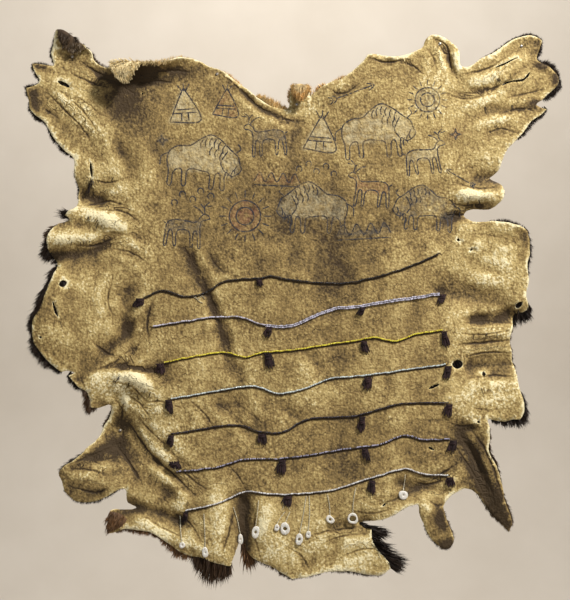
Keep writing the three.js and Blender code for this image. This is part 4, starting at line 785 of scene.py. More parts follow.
def skin_colour(tree, settings):
    """The skin's colour, which the bare skin and worn paint share: its own tones and grain, with painted shade in
    creases, hollows and under the strings, and painted highlight on ridges and crease lips.
    """
    place = object_coordinates(tree)
    broad = noise_value(tree, place, 5.5, 3, 0.55)
    cloud = noise_value(tree, place, 30, 4, 0.62, 0.5)
    fleck = noise_value(tree, place, 105, 3, 0.6, 0.9)
    grain = noise_value(tree, place, 260, 2, 0.6)
    brushed = result_of(tree, "ShaderNodeMapping", {"Vector": place, "Rotation": (0, 0.75, 0), "Scale": (1, 1, 0.3)})
    nap = noise_value(tree, brushed, 170, 2, 0.6, 0.4)
    cells = add_node(tree, "ShaderNodeTexVoronoi", {"Vector": place, "Scale": 190.0, "Randomness": 1.0})
    pebble = maths(tree, "SUBTRACT", 0.45, cells.outputs["Distance"])
    patch = result_of(tree, "ShaderNodeMapRange", {
        0: noise_value(tree, place, 12, 2, 0.5), 1: 0.38, 2: 0.62, 3: 0.2, 4: 1.0})
    speckle = times(tree, pebble, patch)
    wander = times(tree, maths(tree, "SUBTRACT", noise_value(tree, place, 60, 2), 0.5), 5.0)
    across = maths(tree, "ABSOLUTE", plus(tree, attribute(tree, "across"), wander))
    # Painted shade in each deep crease and a painted highlight on its lip; both also shape the bump.
    furrow_and_shade = times(tree, attribute(tree, "deep"), bell(tree, across, 0.0, 1.25))
    lip_and_highlight = times(tree, attribute(tree, "deep"), bell(tree, across, 3.6, 2.0))
    # Painted shadow: a dark line just below each string of beads.
    string_shadow = bell(tree, attribute(tree, "string"), 0.0, 1.5)
    rim = times(tree, attribute(tree, "rim"), plus(tree, cloud, 0.35))
    tone = plus(tree, times(tree, attribute(tree, "tone"), 0.50), 0.42)
    tone = add_shares(tree, tone, ((broad, 0.40), (cloud, 0.44)), 0.5)
    # relief and fold make ridges lighter and hollows darker: painted highlight and painted shade.
    tone = add_shares(tree, tone, ((furrow_and_shade, -0.38), (lip_and_highlight, 0.13), (string_shadow, -0.52), (rim, 0.42),
                                   (attribute(tree, "relief"), 0.20), (attribute(tree, "fold"), 0.30)))
    fine = times(tree, speckle, 0.45)
    fine = add_shares(tree, fine, ((fleck, 0.64), (grain, 0.84), (nap, 0.50)), 0.5)
    strength = plus(tree, tone, 0.46)
    tone = plus(tree, tone, times(tree, fine, strength), clamp=True)
    colour = ramp(tree, tone, [(0.04, settings.dark), (0.38, settings.middle), (0.68, settings.light),
                               (0.95, settings.rim)])
    height = times(tree, pebble, 0.35)
    height = add_shares(tree, height, ((fleck, 0.75), (cloud, 1.1), (grain, 0.26), (nap, 0.45), (lip_and_highlight, 0.42),
                                       (furrow_and_shade, -0.42)))
    return place, colour, height


def skin_material(settings):
    made, tree, shader = new_material("bare_skin")
    place, colour, height = skin_colour(tree, settings)
    wash = add_node(tree, "ShaderNodeAttribute", attribute_name="wash")
    wear = ramp(tree, noise_value(tree, place, 90, 5, 0.7), [(0.36, (0, 0, 0)), (0.62, (1, 1, 1))])
    thin = times(tree, wash.outputs["Alpha"], wear)
    colour = mix_colour(tree, thin, colour, wash.outputs["Color"])
    rough = plus(tree, times(tree, noise_value(tree, place, 60, 3), 0.2), 0.66)
    set_inputs(tree, shader, {"Base Color": colour, "Roughness": rough, "Specular IOR Level": 0.28,
                              "Sheen Weight": 0.08, "Sheen Roughness": 0.5})
    add_bump(tree, shader, height, GRAIN_DEPTH)
    return made


def rim_material(settings):
    made, tree, shader = new_material("skin_rim")
    place = object_coordinates(tree)
    colour = ramp(tree, noise_value(tree, place, 70, 5, 0.65), [
        (0.25, settings.middle), (0.4, settings.light), (0.52, settings.rim)])
    set_inputs(tree, shader, {"Base Color": colour, "Roughness": 0.7})
    add_bump(tree, shader, noise_value(tree, place, 400, 4), 0.4 * MM)
    return made


def roots_material():
    made, tree, shader = new_material("hair_roots")
    place = object_coordinates(tree)
    shade = ramp(tree, noise_value(tree, place, 90, 4, 0.6), [(0.35, (0.35, 0.33, 0.3)), (0.65, (1, 1, 1))])
    colour = mix_colour(tree, 1.0, attribute(tree, "coat", "Color"), shade, "MULTIPLY")
    set_inputs(tree, shader, {"Base Color": colour, "Roughness": 0.8})
    add_bump(tree, shader, noise_value(tree, place, 500, 4), 0.6 * MM)
    return made


class ROBE_OT_skin(bpy.types.Operator):
    """Makes the hide: the frame's wall rounded, creased, curled at its rim and coloured"""
    bl_idname = "robe.skin"
    bl_label = "Skin"

    def execute(self, context):
        settings = context.scene.robe_skin
        SKIN.build(settings)
        hide = SKIN.object.copy()
        hide.data = SKIN.mesh.copy()
        hide.name = "skin"
        context.scene.collection.objects.link(hide)
        for look in (skin_material(settings), roots_material(), rim_material(settings)):
            hide.data.materials.append(look)
        wash = np.zeros((len(SKIN.points), 4))
        for motif in PAINTED:
            wash = np.maximum(wash, motif_wash(motif))
        set_colours(hide.data, "wash", wash)
        set_colours(hide.data, "coat", hair_colours(SKIN.points, BROWN_HAIR))
        solid = hide.modifiers.new("Thickness", "SOLIDIFY")
        solid.thickness = settings.thickness
        solid.offset = -1
        solid.material_offset = 1
        solid.material_offset_rim = 2
        apply_modifiers(hide)
        shade_smooth(hide.data)
        SKIN.object.hide_render = True
        finish_piece(hide, "skin", "hide")
        return {"FINISHED"}


# The painted field: generic animals, lodges and signs

def circle(radius, steps):
    return [(radius * math.cos(a), radius * math.sin(a)) for a in np.linspace(0, 2 * math.pi, steps)]


class Motifs:
    """Small line drawings, each about 100 units wide, as strokes and a closed outline for its wash."""
    BISON = {
        "strokes": [
            [(-48, 2), (-44, 14), (-34, 22), (-20, 34), (-6, 40), (8, 33), (20, 24), (36, 22), (47, 15), (50, 2),
             (47, -12), (47, -30), (42, -30), (40, -13), (30, -9), (28, -29), (23, -29), (21, -9), (2, -9),
             (-8, -13), (-9, -31), (-14, -31), (-16, -13), (-22, -12), (-24, -31), (-29, -31), (-29, -9),
             (-38, -13), (-47, -8), (-50, -2), (-48, 2)],
            [(-40, 18), (-47, 24), (-43, 31)], [(49, 12), (58, 6), (59, -6)], [(-30, 20), (-22, 4), (-28, -8)],
            [(-35, 6), (-36, 4)]] + [[(x, z), (x + 3, z - 6), (x + 2, z - 12)] for x, z in (
                (-26, 28), (-20, 32), (-14, 35), (-8, 37), (-2, 36), (4, 33), (-23, 18), (-16, 22), (-9, 24), (-44, 2),
                (-40, -4), (-35, -8), (-30, -11))],
        "fill": [(-46, 0), (-34, 22), (-6, 38), (20, 24), (48, 12), (44, -10), (0, -9), (-40, -12)]}
    DEER = {
        "strokes": [
            [(-40, 22), (-32, 26), (-24, 20), (-16, 10), (18, 12), (32, 7), (36, -6), (37, -34), (33, -34),
             (30, -10), (24, -9), (20, -33), (16, -33), (15, -8), (-6, -8), (-10, -34), (-14, -34), (-14, -9),
             (-20, -8), (-24, -34), (-28, -34), (-25, 0), (-28, 13), (-40, 17), (-40, 22)],
            [(-32, 26), (-30, 38), (-38, 48)], [(-31, 35), (-22, 44)], [(-29, 25), (-20, 34), (-10, 38)],
            [(-35, 40), (-44, 42)], [(36, 4), (42, 8)]],
        "fill": [(-28, 16), (-16, 10), (30, 8), (34, -8), (-22, -8)]}
    LODGE = {
        "strokes": [[(-34, -36), (-4, 30), (4, 30), (34, -36), (-34, -36)], [(-4, 30), (-14, 46)], [(4, 30), (13, 46)],
                    [(0, 30), (0, 48)], [(-22, -10), (22, -10)], [(-26, -18), (26, -18)],
                    [(-8, -36), (-7, -18)], [(8, -36), (7, -18)]],
        "fill": [(-34, -36), (-4, 30), (4, 30), (34, -36)]}
    SUN = {
        "strokes": [circle(30, 25), circle(17, 19), *zip(circle(36, 17)[:-1], circle(50, 17))],
        "fill": circle(30, 17)[:-1]}
    TRACKS = {
        "strokes": [[(x - 5, z - 6), (x - 7, z + 2), (x, z + 8), (x + 7, z + 2), (x + 5, z - 6)]
                    for x, z in ((-44, -8), (-22, 8), (0, -8), (22, 8), (44, -8))],
        "fill": []}
    ARROW = {
        "strokes": [[(-50, 0), (46, 0)], [(36, 8), (50, 0), (36, -8)], [(-50, 8), (-40, 0), (-50, -8)],
                    [(-42, 8), (-32, 0), (-42, -8)]],
        "fill": []}
    STAR = {
        "strokes": [[(0, 34), (7, 7), (34, 0), (7, -7), (0, -34), (-7, -7), (-34, 0), (-7, 7), (0, 34)]],
        "fill": [(0, 30), (7, 7), (30, 0), (7, -7), (0, -30), (-7, -7), (-30, 0), (-7, 7)]}
    PEAKS = {
        "strokes": [[(-50, -8), (-38, 12), (-26, -8), (-13, 12), (0, -8), (13, 12), (26, -8), (38, 12), (50, -8)],
                    [(-50, -16), (50, -16)]],
        "fill": [(-50, -8), (-38, 12), (-26, -8), (-13, 12), (0, -8), (13, 12), (26, -8), (38, 12), (50, -8)]}


RUST, SLATE, CHALK = (0.30, 0.11, 0.07), (0.10, 0.105, 0.105), (0.68, 0.60, 0.38)

# Motif, its middle in millimetres, width, turn in degrees, whether it faces right, wash and its strength
PAINTED = [
    (Motifs.LODGE, (-226, -2), 92, 4, False, CHALK, 0.5),
    (Motifs.LODGE, (-142, 4), 76, -4, False, RUST, 0.3),
    (Motifs.BISON, (-186, -122), 150, -5, True, CHALK, 0.5),
    (Motifs.STAR, (-270, -74), 34, 8, False, SLATE, 0.6),
    (Motifs.TRACKS, (-210, -186), 84, 10, False, SLATE, 0),
    (Motifs.DEER, (-222, -248), 112, -5, True, SLATE, 0.5),
    (Motifs.SUN, (-104, -226), 104, 0, False, RUST, 0.35),
    (Motifs.DEER, (-62, -66), 106, 4, False, SLATE, 0.45),
    (Motifs.PEAKS, (-40, -150), 92, -3, False, RUST, 0.3),
    (Motifs.BISON, (30, -214), 142, -3, False, CHALK, 0.35),
    (Motifs.LODGE, (48, -58), 96, -5, False, CHALK, 0.5),
    (Motifs.TRACKS, (40, -130), 80, -8, False, SLATE, 0),
    (Motifs.ARROW, (110, 22), 96, 20, False, SLATE, 0),
    (Motifs.BISON, (164, -60), 148, 5, True, CHALK, 0.5),
    (Motifs.DEER, (146, -168), 108, -4, False, RUST, 0.35),
    (Motifs.PEAKS, (134, -254), 108, 3, False, SLATE, 0.4),
    (Motifs.SUN, (262, 8), 82, 0, False, SLATE, 0.4),
    (Motifs.DEER, (256, -104), 104, 6, True, CHALK, 0.45),
    (Motifs.BISON, (254, -214), 124, -5, False, SLATE, 0.45),
    (Motifs.STAR, (318, -62), 36, 0, False, RUST, 0.5),
    (Motifs.ARROW, (328, -150), 66, -30, True, RUST, 0),
]


def placed(points, motif):
    """A motif's points on the hide, in millimetres across and up."""
    _, middle, width, turn, faces_right, _, _ = motif
    points = np.array(points, float) * (width / 100)
    if faces_right:
        points[:, 0] *= -1
    c, s = math.cos(math.radians(turn)), math.sin(math.radians(turn))
    return points @ np.array([[c, s], [-s, c]]) + np.array(middle)


def motif_wash(motif):
    """The wash of one motif at each point of the skin: colour and strength."""
    found = np.zeros((len(SKIN.points), 4))
    if not motif[0]["fill"] or not motif[6]:
        return found
    outline = placed(motif[0]["fill"], motif)
    flat = SKIN.points[:, [0, 2]] / MM
    inside = np.zeros(len(flat), bool)
    for a, b in zip(outline, np.roll(outline, -1, axis=0)):
        crosses = (a[1] > flat[:, 1]) != (b[1] > flat[:, 1])
        at = a[0] + (flat[:, 1] - a[1]) * (b[0] - a[0]) / (b[1] - a[1] if b[1] != a[1] else 1)
        inside ^= crosses & (flat[:, 0] < at)
    away, _ = path_distance(flat, np.vstack([outline, outline[:1]]))
    share = np.where(inside, 1.0, np.exp(-0.5 * (away / 2.5) ** 2)) * motif[6]
    share[np.abs(flat - np.array(motif[1])).max(axis=1) > motif[2]] = 0
    found[:, :3] = np.array(motif[5]) * (share > 0.02)[:, None]
    found[:, 3] = share
    return found


def paint_material(settings):
    made, tree, shader = new_material("worn_paint")
    place, colour, height = skin_colour(tree, bpy.context.scene.robe_skin)
    worn = ramp(tree, noise_value(tree, place, 150, 5, 0.7), [(0.50, (1, 1, 1)), (0.66, (0.25, 0.25, 0.25))])
    patchy = ramp(tree, noise_value(tree, place, 16, 3), [(0.30, (0.6, 0.6, 0.6)), (0.5, (1, 1, 1))])
    colour = mix_colour(tree, times(tree, worn, patchy), colour, settings.ink)
    set_inputs(tree, shader, {"Base Color": colour, "Roughness": 0.72})
    add_bump(tree, shader, height, GRAIN_DEPTH)
    return made


class ROBE_OT_painting(bpy.types.Operator):
    """Draws the painted field's outlines as worn paint on the skin"""
    bl_idname = "robe.painting"
    bl_label = "Painting"

    def execute(self, context):
        settings = context.scene.robe_paint
        source = seeded("painting")
        vertices, faces = [], []
        for motif in PAINTED:
            for stroke in motif[0]["strokes"]:
                line = smooth_line(placed(stroke, motif), 2.6)
                self.ribbon(line, settings, source, vertices, faces)
        if not faces:
            raise RuntimeError("no painted line lies on the skin")
        made = object_from("painted_outlines", vertices, faces)
        SKIN.carry_values(made.data)
        made.data.materials.append(paint_material(settings))
        shade_smooth(made.data)
        finish_piece(made, "skin")
        return {"FINISHED"}

    def ribbon(self, line, settings, source, vertices, faces):
        """A line of paint laid on the skin, with its ends and breadth uneven."""
        if len(line) < 3:
            return
        ways = np.gradient(line, axis=0)
        ways /= np.maximum(np.linalg.norm(ways, axis=1), 1e-9)[:, None]
        sides = np.stack([-ways[:, 1], ways[:, 0]], axis=1)
        last = None
        for i, (place, side) in enumerate(zip(line, sides)):
            half = settings.line / MM * 0.5 * source.uniform(0.7, 1.15)
            if i in (0, len(line) - 1):
                half *= 0.5
            row = []
            for share, lift in ((-1, 0.02 * MM), (0, settings.height), (1, 0.02 * MM)):
                x, z = (place + side * half * share) * MM
                y = SKIN.front(x, z)
                if y is None:
                    break
                row.append((x, y - lift, z))
            if len(row) < 3:
                last = None
                continue
            start = len(vertices)
            vertices.extend(row)
            if last is not None:
                faces.extend([(last, last + 1, start + 1, start), (last + 1, last + 2, start + 2, start + 1)])
            last = start


# Geometry Nodes helpers

CORDS = "cords along lines"      # the tree that yarn, thread ends and twisted threads share


def node_group(name, inputs):
    """A Geometry Nodes tree with named inputs: the tree, what it is given and what it gives."""
    tree = bpy.data.node_groups.new(name, "GeometryNodeTree")
    tree.interface.new_socket("Geometry", in_out="INPUT", socket_type="NodeSocketGeometry")
    for label, kind in inputs:
        tree.interface.new_socket(label, in_out="INPUT", socket_type=kind)
    tree.interface.new_socket("Geometry", in_out="OUTPUT", socket_type="NodeSocketGeometry")
    return tree, tree.nodes.new("NodeGroupInput").outputs, tree.nodes.new("NodeGroupOutput").inputs


def run_nodes(made, tree, **values):
    """Runs a Geometry Nodes tree on an object with these inputs and keeps the result as its mesh."""
    modifier = made.modifiers.new(tree.name, "NODES")
    modifier.node_group = tree
    named = {key.replace("_", " "): value for key, value in values.items()}
    for item in tree.interface.items_tree:
        if item.in_out == "INPUT" and item.name.lower() in named:
            modifier[item.identifier] = named.pop(item.name.lower())
    if named:
        raise RuntimeError(f"{tree.name} has no input {sorted(named)}")
    return apply_modifiers(made)


def random_value(tree, low, high, seed, kind="FLOAT"):
    first, out = {"FLOAT_VECTOR": (0, 0), "FLOAT": (2, 1), "INT": (4, 2)}[kind]
    return add_node(tree, "FunctionNodeRandomValue", {first: low, first + 1: high, 8: seed},
                    data_type=kind).outputs[out]


def aligned_rotation(tree, direction, tilt):
    """A rotation that turns Z to a direction, then tilts it by angles of its own."""
    turned = result_of(tree, "FunctionNodeAlignRotationToVector", {"Vector": direction}, axis="Z")
    return result_of(tree, "FunctionNodeRotateRotation", {0: turned, 1: tilt}, rotation_space="LOCAL")


def named_value(tree, name, kind):
    return result_of(tree, "GeometryNodeInputNamedAttribute", {"Name": name}, data_type=kind)


def as_mesh(tree, geometry, look):
    """The nodes that turn instances into one mesh of a material."""
    return result_of(tree, "GeometryNodeSetMaterial", {
        0: result_of(tree, "GeometryNodeRealizeInstances", {0: geometry}), "Material": look})


def cord_tree():
    """Round cords along lines, each point as thick as its own thickness says."""
    tree, given, result = node_group(CORDS, [
        ("Sides", "NodeSocketInt"), ("Material", "NodeSocketMaterial")])
    curve = result_of(tree, "GeometryNodeMeshToCurve", {0: given["Geometry"]})
    ring = result_of(tree, "GeometryNodeCurvePrimitiveCircle", {"Resolution": given["Sides"], "Radius": 1.0})
    body = result_of(tree, "GeometryNodeCurveToMesh", {
        "Curve": curve, "Profile Curve": ring, "Scale": named_value(tree, "thickness", "FLOAT"), "Fill Caps": True})
    tree.links.new(as_mesh(tree, body, given["Material"]), result[0])
    return tree


def make_cords(name, lines, radii, sides, look, shades=None):
    """Cords along several lines of points, as one mesh; a radius is a number or one for each point."""
    vertices, edges, thickness, shade = [], [], [], []
    for k, (line, radius) in enumerate(zip(lines, radii)):
        start = len(vertices)
        vertices.extend(line)
        edges.extend((start + i, start + i + 1) for i in range(len(line) - 1))
        thickness.extend(np.broadcast_to(radius, len(line)))
        shade.extend([0.5 if shades is None else shades[k]] * len(line))
    made = object_from(name, vertices, [], edges)
    set_floats(made.data, "thickness", thickness)
    set_floats(made.data, "shade", shade)
    run_nodes(made, bpy.data.node_groups.get(CORDS) or cord_tree(), sides=sides, material=look)
    shade_smooth(made.data)
    return made


def join_pieces(name, pieces):
    """One object of several, with their materials kept."""
    bpy.ops.object.select_all(action="DESELECT")
    for piece in pieces:
        piece.select_set(True)
    bpy.context.view_layer.objects.active = pieces[0]
    if len(pieces) > 1:
        bpy.ops.object.join()
    pieces[0].name = pieces[0].data.name = name
    pieces[0].select_set(False)
    return pieces[0]


# Hair

DARK_HAIR, BROWN_HAIR, RED_HAIR = (0.026, 0.015, 0.009), (0.075, 0.040, 0.018), (0.19, 0.095, 0.036)
ORANGE_HAIR, GOLD_HAIR, CREAM_HAIR = (0.74, 0.49, 0.19), (0.80, 0.62, 0.30), (0.98, 0.82, 0.46)

# Hair of another colour: middle and spread in millimetres, colour, strength
HAIR_TONES = [
    ("shoulder roll", (-260, 90), (110, 26), GOLD_HAIR, 1.0),
    ("shoulder lobe", (-350, 72), (34, 34), CREAM_HAIR, 1.0),
    ("slope of the neck", (-130, 60), (50, 26), ORANGE_HAIR, 0.9),
    ("neck", (-40, 20), (70, 36), ORANGE_HAIR, 1.0),
    ("neck tab", (4, 34), (22, 22), ORANGE_HAIR, 1.0),
    ("neck tab's light", (2, 24), (14, 12), CREAM_HAIR, 0.9),
    ("neck tab's dark", (24, 40), (8, 8), BROWN_HAIR, 0.8),
    ("neck, right", (46, 46), (34, 20), ORANGE_HAIR, 0.9),
    ("left hind end", (-352, -830), (50, 30), RED_HAIR, 0.95),
    ("left hem", (-166, -920), (40, 40), RED_HAIR, 0.6),
    ("left fore tip", (-460, 120), (60, 40), BROWN_HAIR, 0.6),
    ("left hind", (-416, -630), (30, 30), BROWN_HAIR, 0.7),
    ("back", (0, -500), (200, 300), BROWN_HAIR, 0.35),
]

# Longer hair past the edge: from and to along the edge and the sweep of the tips, in millimetres,
# how thick it grows, how much the hair hangs down besides, colour
FRINGES = [
    ((-80, 12), (-20, -10), (5, 21), 30, 0.0, ORANGE_HAIR),
    ((-82, 12), (-20, -10), (4, 14), 24, 0.0, GOLD_HAIR),
    ((-150, 68), (-114, 38), (2, 8), 8, 0.0, ORANGE_HAIR),
    ((-360, 130), (-322, 112), (-3, 6), 8, 0.0, CREAM_HAIR),
    ((-322, 108), (-205, 89), (2, 6), 5, 0.0, GOLD_HAIR),
    ((-12, 2), (-14, 38), (-7, 4), 16, 0.0, ORANGE_HAIR),
    ((-14, 38), (26, 40), (1, 9), 26, 0.0, ORANGE_HAIR),
    ((26, 40), (30, 14), (8, 4), 16, 0.0, ORANGE_HAIR),
    ((30, 18), (60, 40), (-2, 12), 12, 0.0, ORANGE_HAIR),
    ((72, 45), (100, 56), (-2, 10), 10, 0.0, ORANGE_HAIR),
    ((440, 140), (492, 120), (5, 6), 18, 0.0, DARK_HAIR),
    ((492, 118), (484, 90), (11, 2), 20, 0.2, DARK_HAIR),
    ((482, 86), (524, 50), (12, 10), 24, 0.2, DARK_HAIR),
    ((524, 50), (492, 8), (15, -4), 24, 0.6, DARK_HAIR),
    ((366, 90), (470, 138), (-2, 5), 14, 0.0, DARK_HAIR),
    ((500, -12), (440, -74), (9, -8), 16, 0.3, DARK_HAIR),
    ((386, -237), (458, -252), (3, 9), 9, 0.0, DARK_HAIR),
    ((458, -256), (462, -346), (9, -3), 8, 1.2, DARK_HAIR),
    ((461, -402), (432, -440), (14, -30), 20, 0.2, DARK_HAIR),
    ((430, -440), (436, -542), (4, -3), 4, 1.5, BROWN_HAIR),
    ((446, -578), (388, -630), (18, -16), 14, 0.8, DARK_HAIR),
    ((376, -650), (404, -758), (5, -4), 5, 1.5, BROWN_HAIR),
    ((408, -778), (418, -852), (6, -5), 8, 1.0, BROWN_HAIR),
    ((418, -852), (358, -778), (1, -7), 7, 0.3, BROWN_HAIR),
    ((112, -834), (146, -856), (54, -12), 20, 0.2, DARK_HAIR),
    ((146, -856), (182, -922), (60, -20), 20, 0.1, DARK_HAIR),
    ((174, -934), (60, -929), (2, -9), 9, 0.1, BROWN_HAIR),
    ((60, -929), (0, -946), (0, -6), 6, 0.1, BROWN_HAIR),
    ((0, -946), (-90, -900), (-3, -12), 9, 0.1, BROWN_HAIR),
    ((-94, -896), (-105, -868), (8, -60), 34, 0.0, RED_HAIR),
    ((-132, -920), (-204, -899), (-6, -60), 26, 0.0, BROWN_HAIR),
    ((-206, -898), (-268, -864), (-8, -22), 18, 0.2, RED_HAIR),
    ((-268, -864), (-360, -850), (0, -14), 14, 0.2, RED_HAIR),
    ((-340, -764), (-462, -772), (-2, -9), 9, 0.2, DARK_HAIR),
    ((-474, -738), (-426, -700), (-7, 3), 6, 0.8, DARK_HAIR),
    ((-392, -650), (-366, -604), (-6, -2), 7, 0.6, BROWN_HAIR),
    ((-400, -611), (-428, -572), (-14, -24), 16, 0.6, BROWN_HAIR),
    ((-428, -572), (-456, -542), (-10, -14), 12, 0.6, DARK_HAIR),
    ((-470, -536), (-524, -450), (-20, -12), 20, 0.6, DARK_HAIR),
    ((-524, -450), (-482, -342), (-24, -2), 22, 1.2, DARK_HAIR),
    ((-482, -342), (-474, -322), (-22, 2), 20, 1.2, DARK_HAIR),
    ((-480, -314), (-496, -280), (-22, 2), 18, 1.0, DARK_HAIR),
    ((-496, -280), (-478, -244), (-12, 4), 14, 0.6, BROWN_HAIR),
    ((-450, -233), (-456, -216), (-30, 8), 16, 0.1, DARK_HAIR),
    ((-436, -190), (-446, -138), (-6, 0), 8, 0.8, DARK_HAIR),
    ((-446, -108), (-500, -46), (-8, -7), 11, 0.8, DARK_HAIR),
    ((-500, -46), (-536, 2), (-9, -4), 13, 0.8, DARK_HAIR),
    ((-538, 12), (-512, 40), (-7, 8), 12, 0.1, DARK_HAIR),
    ((-514, 44), (-530, 80), (-9, 0), 14, 0.3, DARK_HAIR),
    ((-530, 80), (-486, 74), (-1, 7), 12, 0.0, DARK_HAIR),
    ((-490, 78), (-486, 140), (-7, 1), 12, 0.3, DARK_HAIR),
    ((-412, 106), (-376, 72), (5, 7), 9, 0.0, BROWN_HAIR),
    ((290, -812), (308, -872), (7, -3), 8, 0.6, BROWN_HAIR),
    ((308, -878), (252, -840), (-2, -8), 8, 0.3, DARK_HAIR),
]
BLADES = 7                   # hairs in a lock
LOCKS = 4                    # locks of different shape
FRINGE_LOCKS = 160           # locks on each metre of edge, for a thickness of one
CLUMP = 8 * MM               # breadth of a clump of the longer hair
BACK_SPLIT, FRINGE_SPLIT = -0.37, -0.40      # heights where a piece of hair ends and the next begins


def hair_tree():
    """Locks on points, each along its own flow and as long as its own length says."""
    tree, given, result = node_group("hair on a hide", [
        ("Locks", "NodeSocketCollection"), ("Seed", "NodeSocketInt"), ("Material", "NodeSocketMaterial")])
    locks = result_of(tree, "GeometryNodeCollectionInfo", {
        "Collection": given["Locks"], "Separate Children": True, "Reset Children": True})
    tilt = random_value(tree, (-0.16, -0.16, -3.1), (0.16, 0.16, 3.1), given["Seed"], "FLOAT_VECTOR")
    turn = aligned_rotation(tree, named_value(tree, "flow", "FLOAT_VECTOR"), tilt)
    broad = random_value(tree, 0.75, 1.25, given["Seed"])
    long = named_value(tree, "length", "FLOAT")
    broad = times(tree, broad, maths(tree, "POWER", times(tree, long, 38.0), 0.6))
    scale = result_of(tree, "ShaderNodeCombineXYZ", {0: broad, 1: broad, 2: long})
    grown = result_of(tree, "GeometryNodeInstanceOnPoints", {
        "Points": given["Geometry"], "Instance": locks, "Pick Instance": True,
        "Instance Index": random_value(tree, 0, LOCKS - 1, given["Seed"], "INT"),
        "Rotation": turn, "Scale": scale})
    tree.links.new(as_mesh(tree, grown, given["Material"]), result[0])
    return tree


def hair_material():
    made, tree, shader = new_material("hair")
    along = attribute(tree, "along")
    strand = attribute(tree, "strand")
    base = attribute(tree, "coat", "Color")
    darker = mix_colour(tree, 1.0, base, (0.45, 0.42, 0.40), "MULTIPLY")
    lighter = mix_colour(tree, 1.0, base, (1.22, 1.22, 1.22), "MULTIPLY")
    paler = plus(tree, times(tree, along, 0.6), times(tree, strand, 0.5), clamp=True)
    colour = mix_colour(tree, paler, darker, lighter)
    patch = noise_value(tree, object_coordinates(tree), 22, 3)
    colour = mix_colour(tree, 1.0, colour, ramp(tree, patch, [(0.3, (0.65, 0.65, 0.65)), (0.7, (1.2, 1.2, 1.2))]),
                        "MULTIPLY")
    set_inputs(tree, shader, {"Base Color": colour, "Roughness": 0.52, "Specular IOR Level": 0.35})
    return made


def lock_templates():
    """A few locks of hair, one metre long along Z, to be scaled to length."""
    kept = bpy.data.collections.new("hair locks")
    for k in range(LOCKS):
        source = seeded(f"lock {k}")
        vertices, faces, along, strand = [], [], [], []
        for _ in range(BLADES):
            around, root, out = source.uniform(0, 6.3), source.uniform(0, 1.6) * MM, source.uniform(0.5, 5.5) * MM
            facing, long = source.uniform(0, 6.3), source.uniform(0.62, 1.0)
            bend, half, shade = source.uniform(-1.8, 1.8) * MM, source.uniform(0.42, 0.80) * MM, source.random()
            side = np.array([math.cos(facing), math.sin(facing), 0]) * half
            start = len(vertices)
            for share, width in ((0, 1.0), (0.4, 0.95), (0.75, 0.6), (1.0, 0.0)):
                middle = np.array([math.cos(around), math.sin(around), 0]) * (root + out * share ** 1.5)
                middle += np.array([-math.sin(around), math.cos(around), 0]) * bend * math.sin(share * math.pi)
                middle[2] = long * share
                spots = [middle] if width == 0 else [middle - side * width, middle + side * width]
                vertices.extend(spots)
                along.extend([share] * len(spots))
                strand.extend([shade] * len(spots))
            faces.extend([(start, start + 1, start + 3, start + 2), (start + 2, start + 3, start + 5, start + 4),
                          (start + 4, start + 5, start + 6)])
        lock = object_from(f"lock_template_{k}", vertices, faces)
        set_floats(lock.data, "along", along)
        set_floats(lock.data, "strand", strand)
        bpy.context.scene.collection.objects.unlink(lock)
        kept.objects.link(lock)
    return kept


def hair_colours(places, default):
    flat = np.asarray(places)[:, [0, 2]] / MM
    colours = np.tile(np.array([*default, 1.0]), (len(flat), 1))
    for _, middle, spread, colour, strength in HAIR_TONES:
        share = strength * np.exp(-0.5 * (((flat - np.array(middle)) / np.array(spread)) ** 2).sum(axis=1))
        colours[:, :3] += share[:, None] * (np.array(colour) - colours[:, :3])
    return colours


def grow(name, spots, flows, lengths, colours, locks, tree, look, seed):
    made = object_from(name, spots, [])
    set_vectors(made.data, "flow", flows)
    set_floats(made.data, "length", lengths)
    set_colours(made.data, "coat", colours)
    run_nodes(made, tree, locks=locks, seed=seed, material=look)
    return made


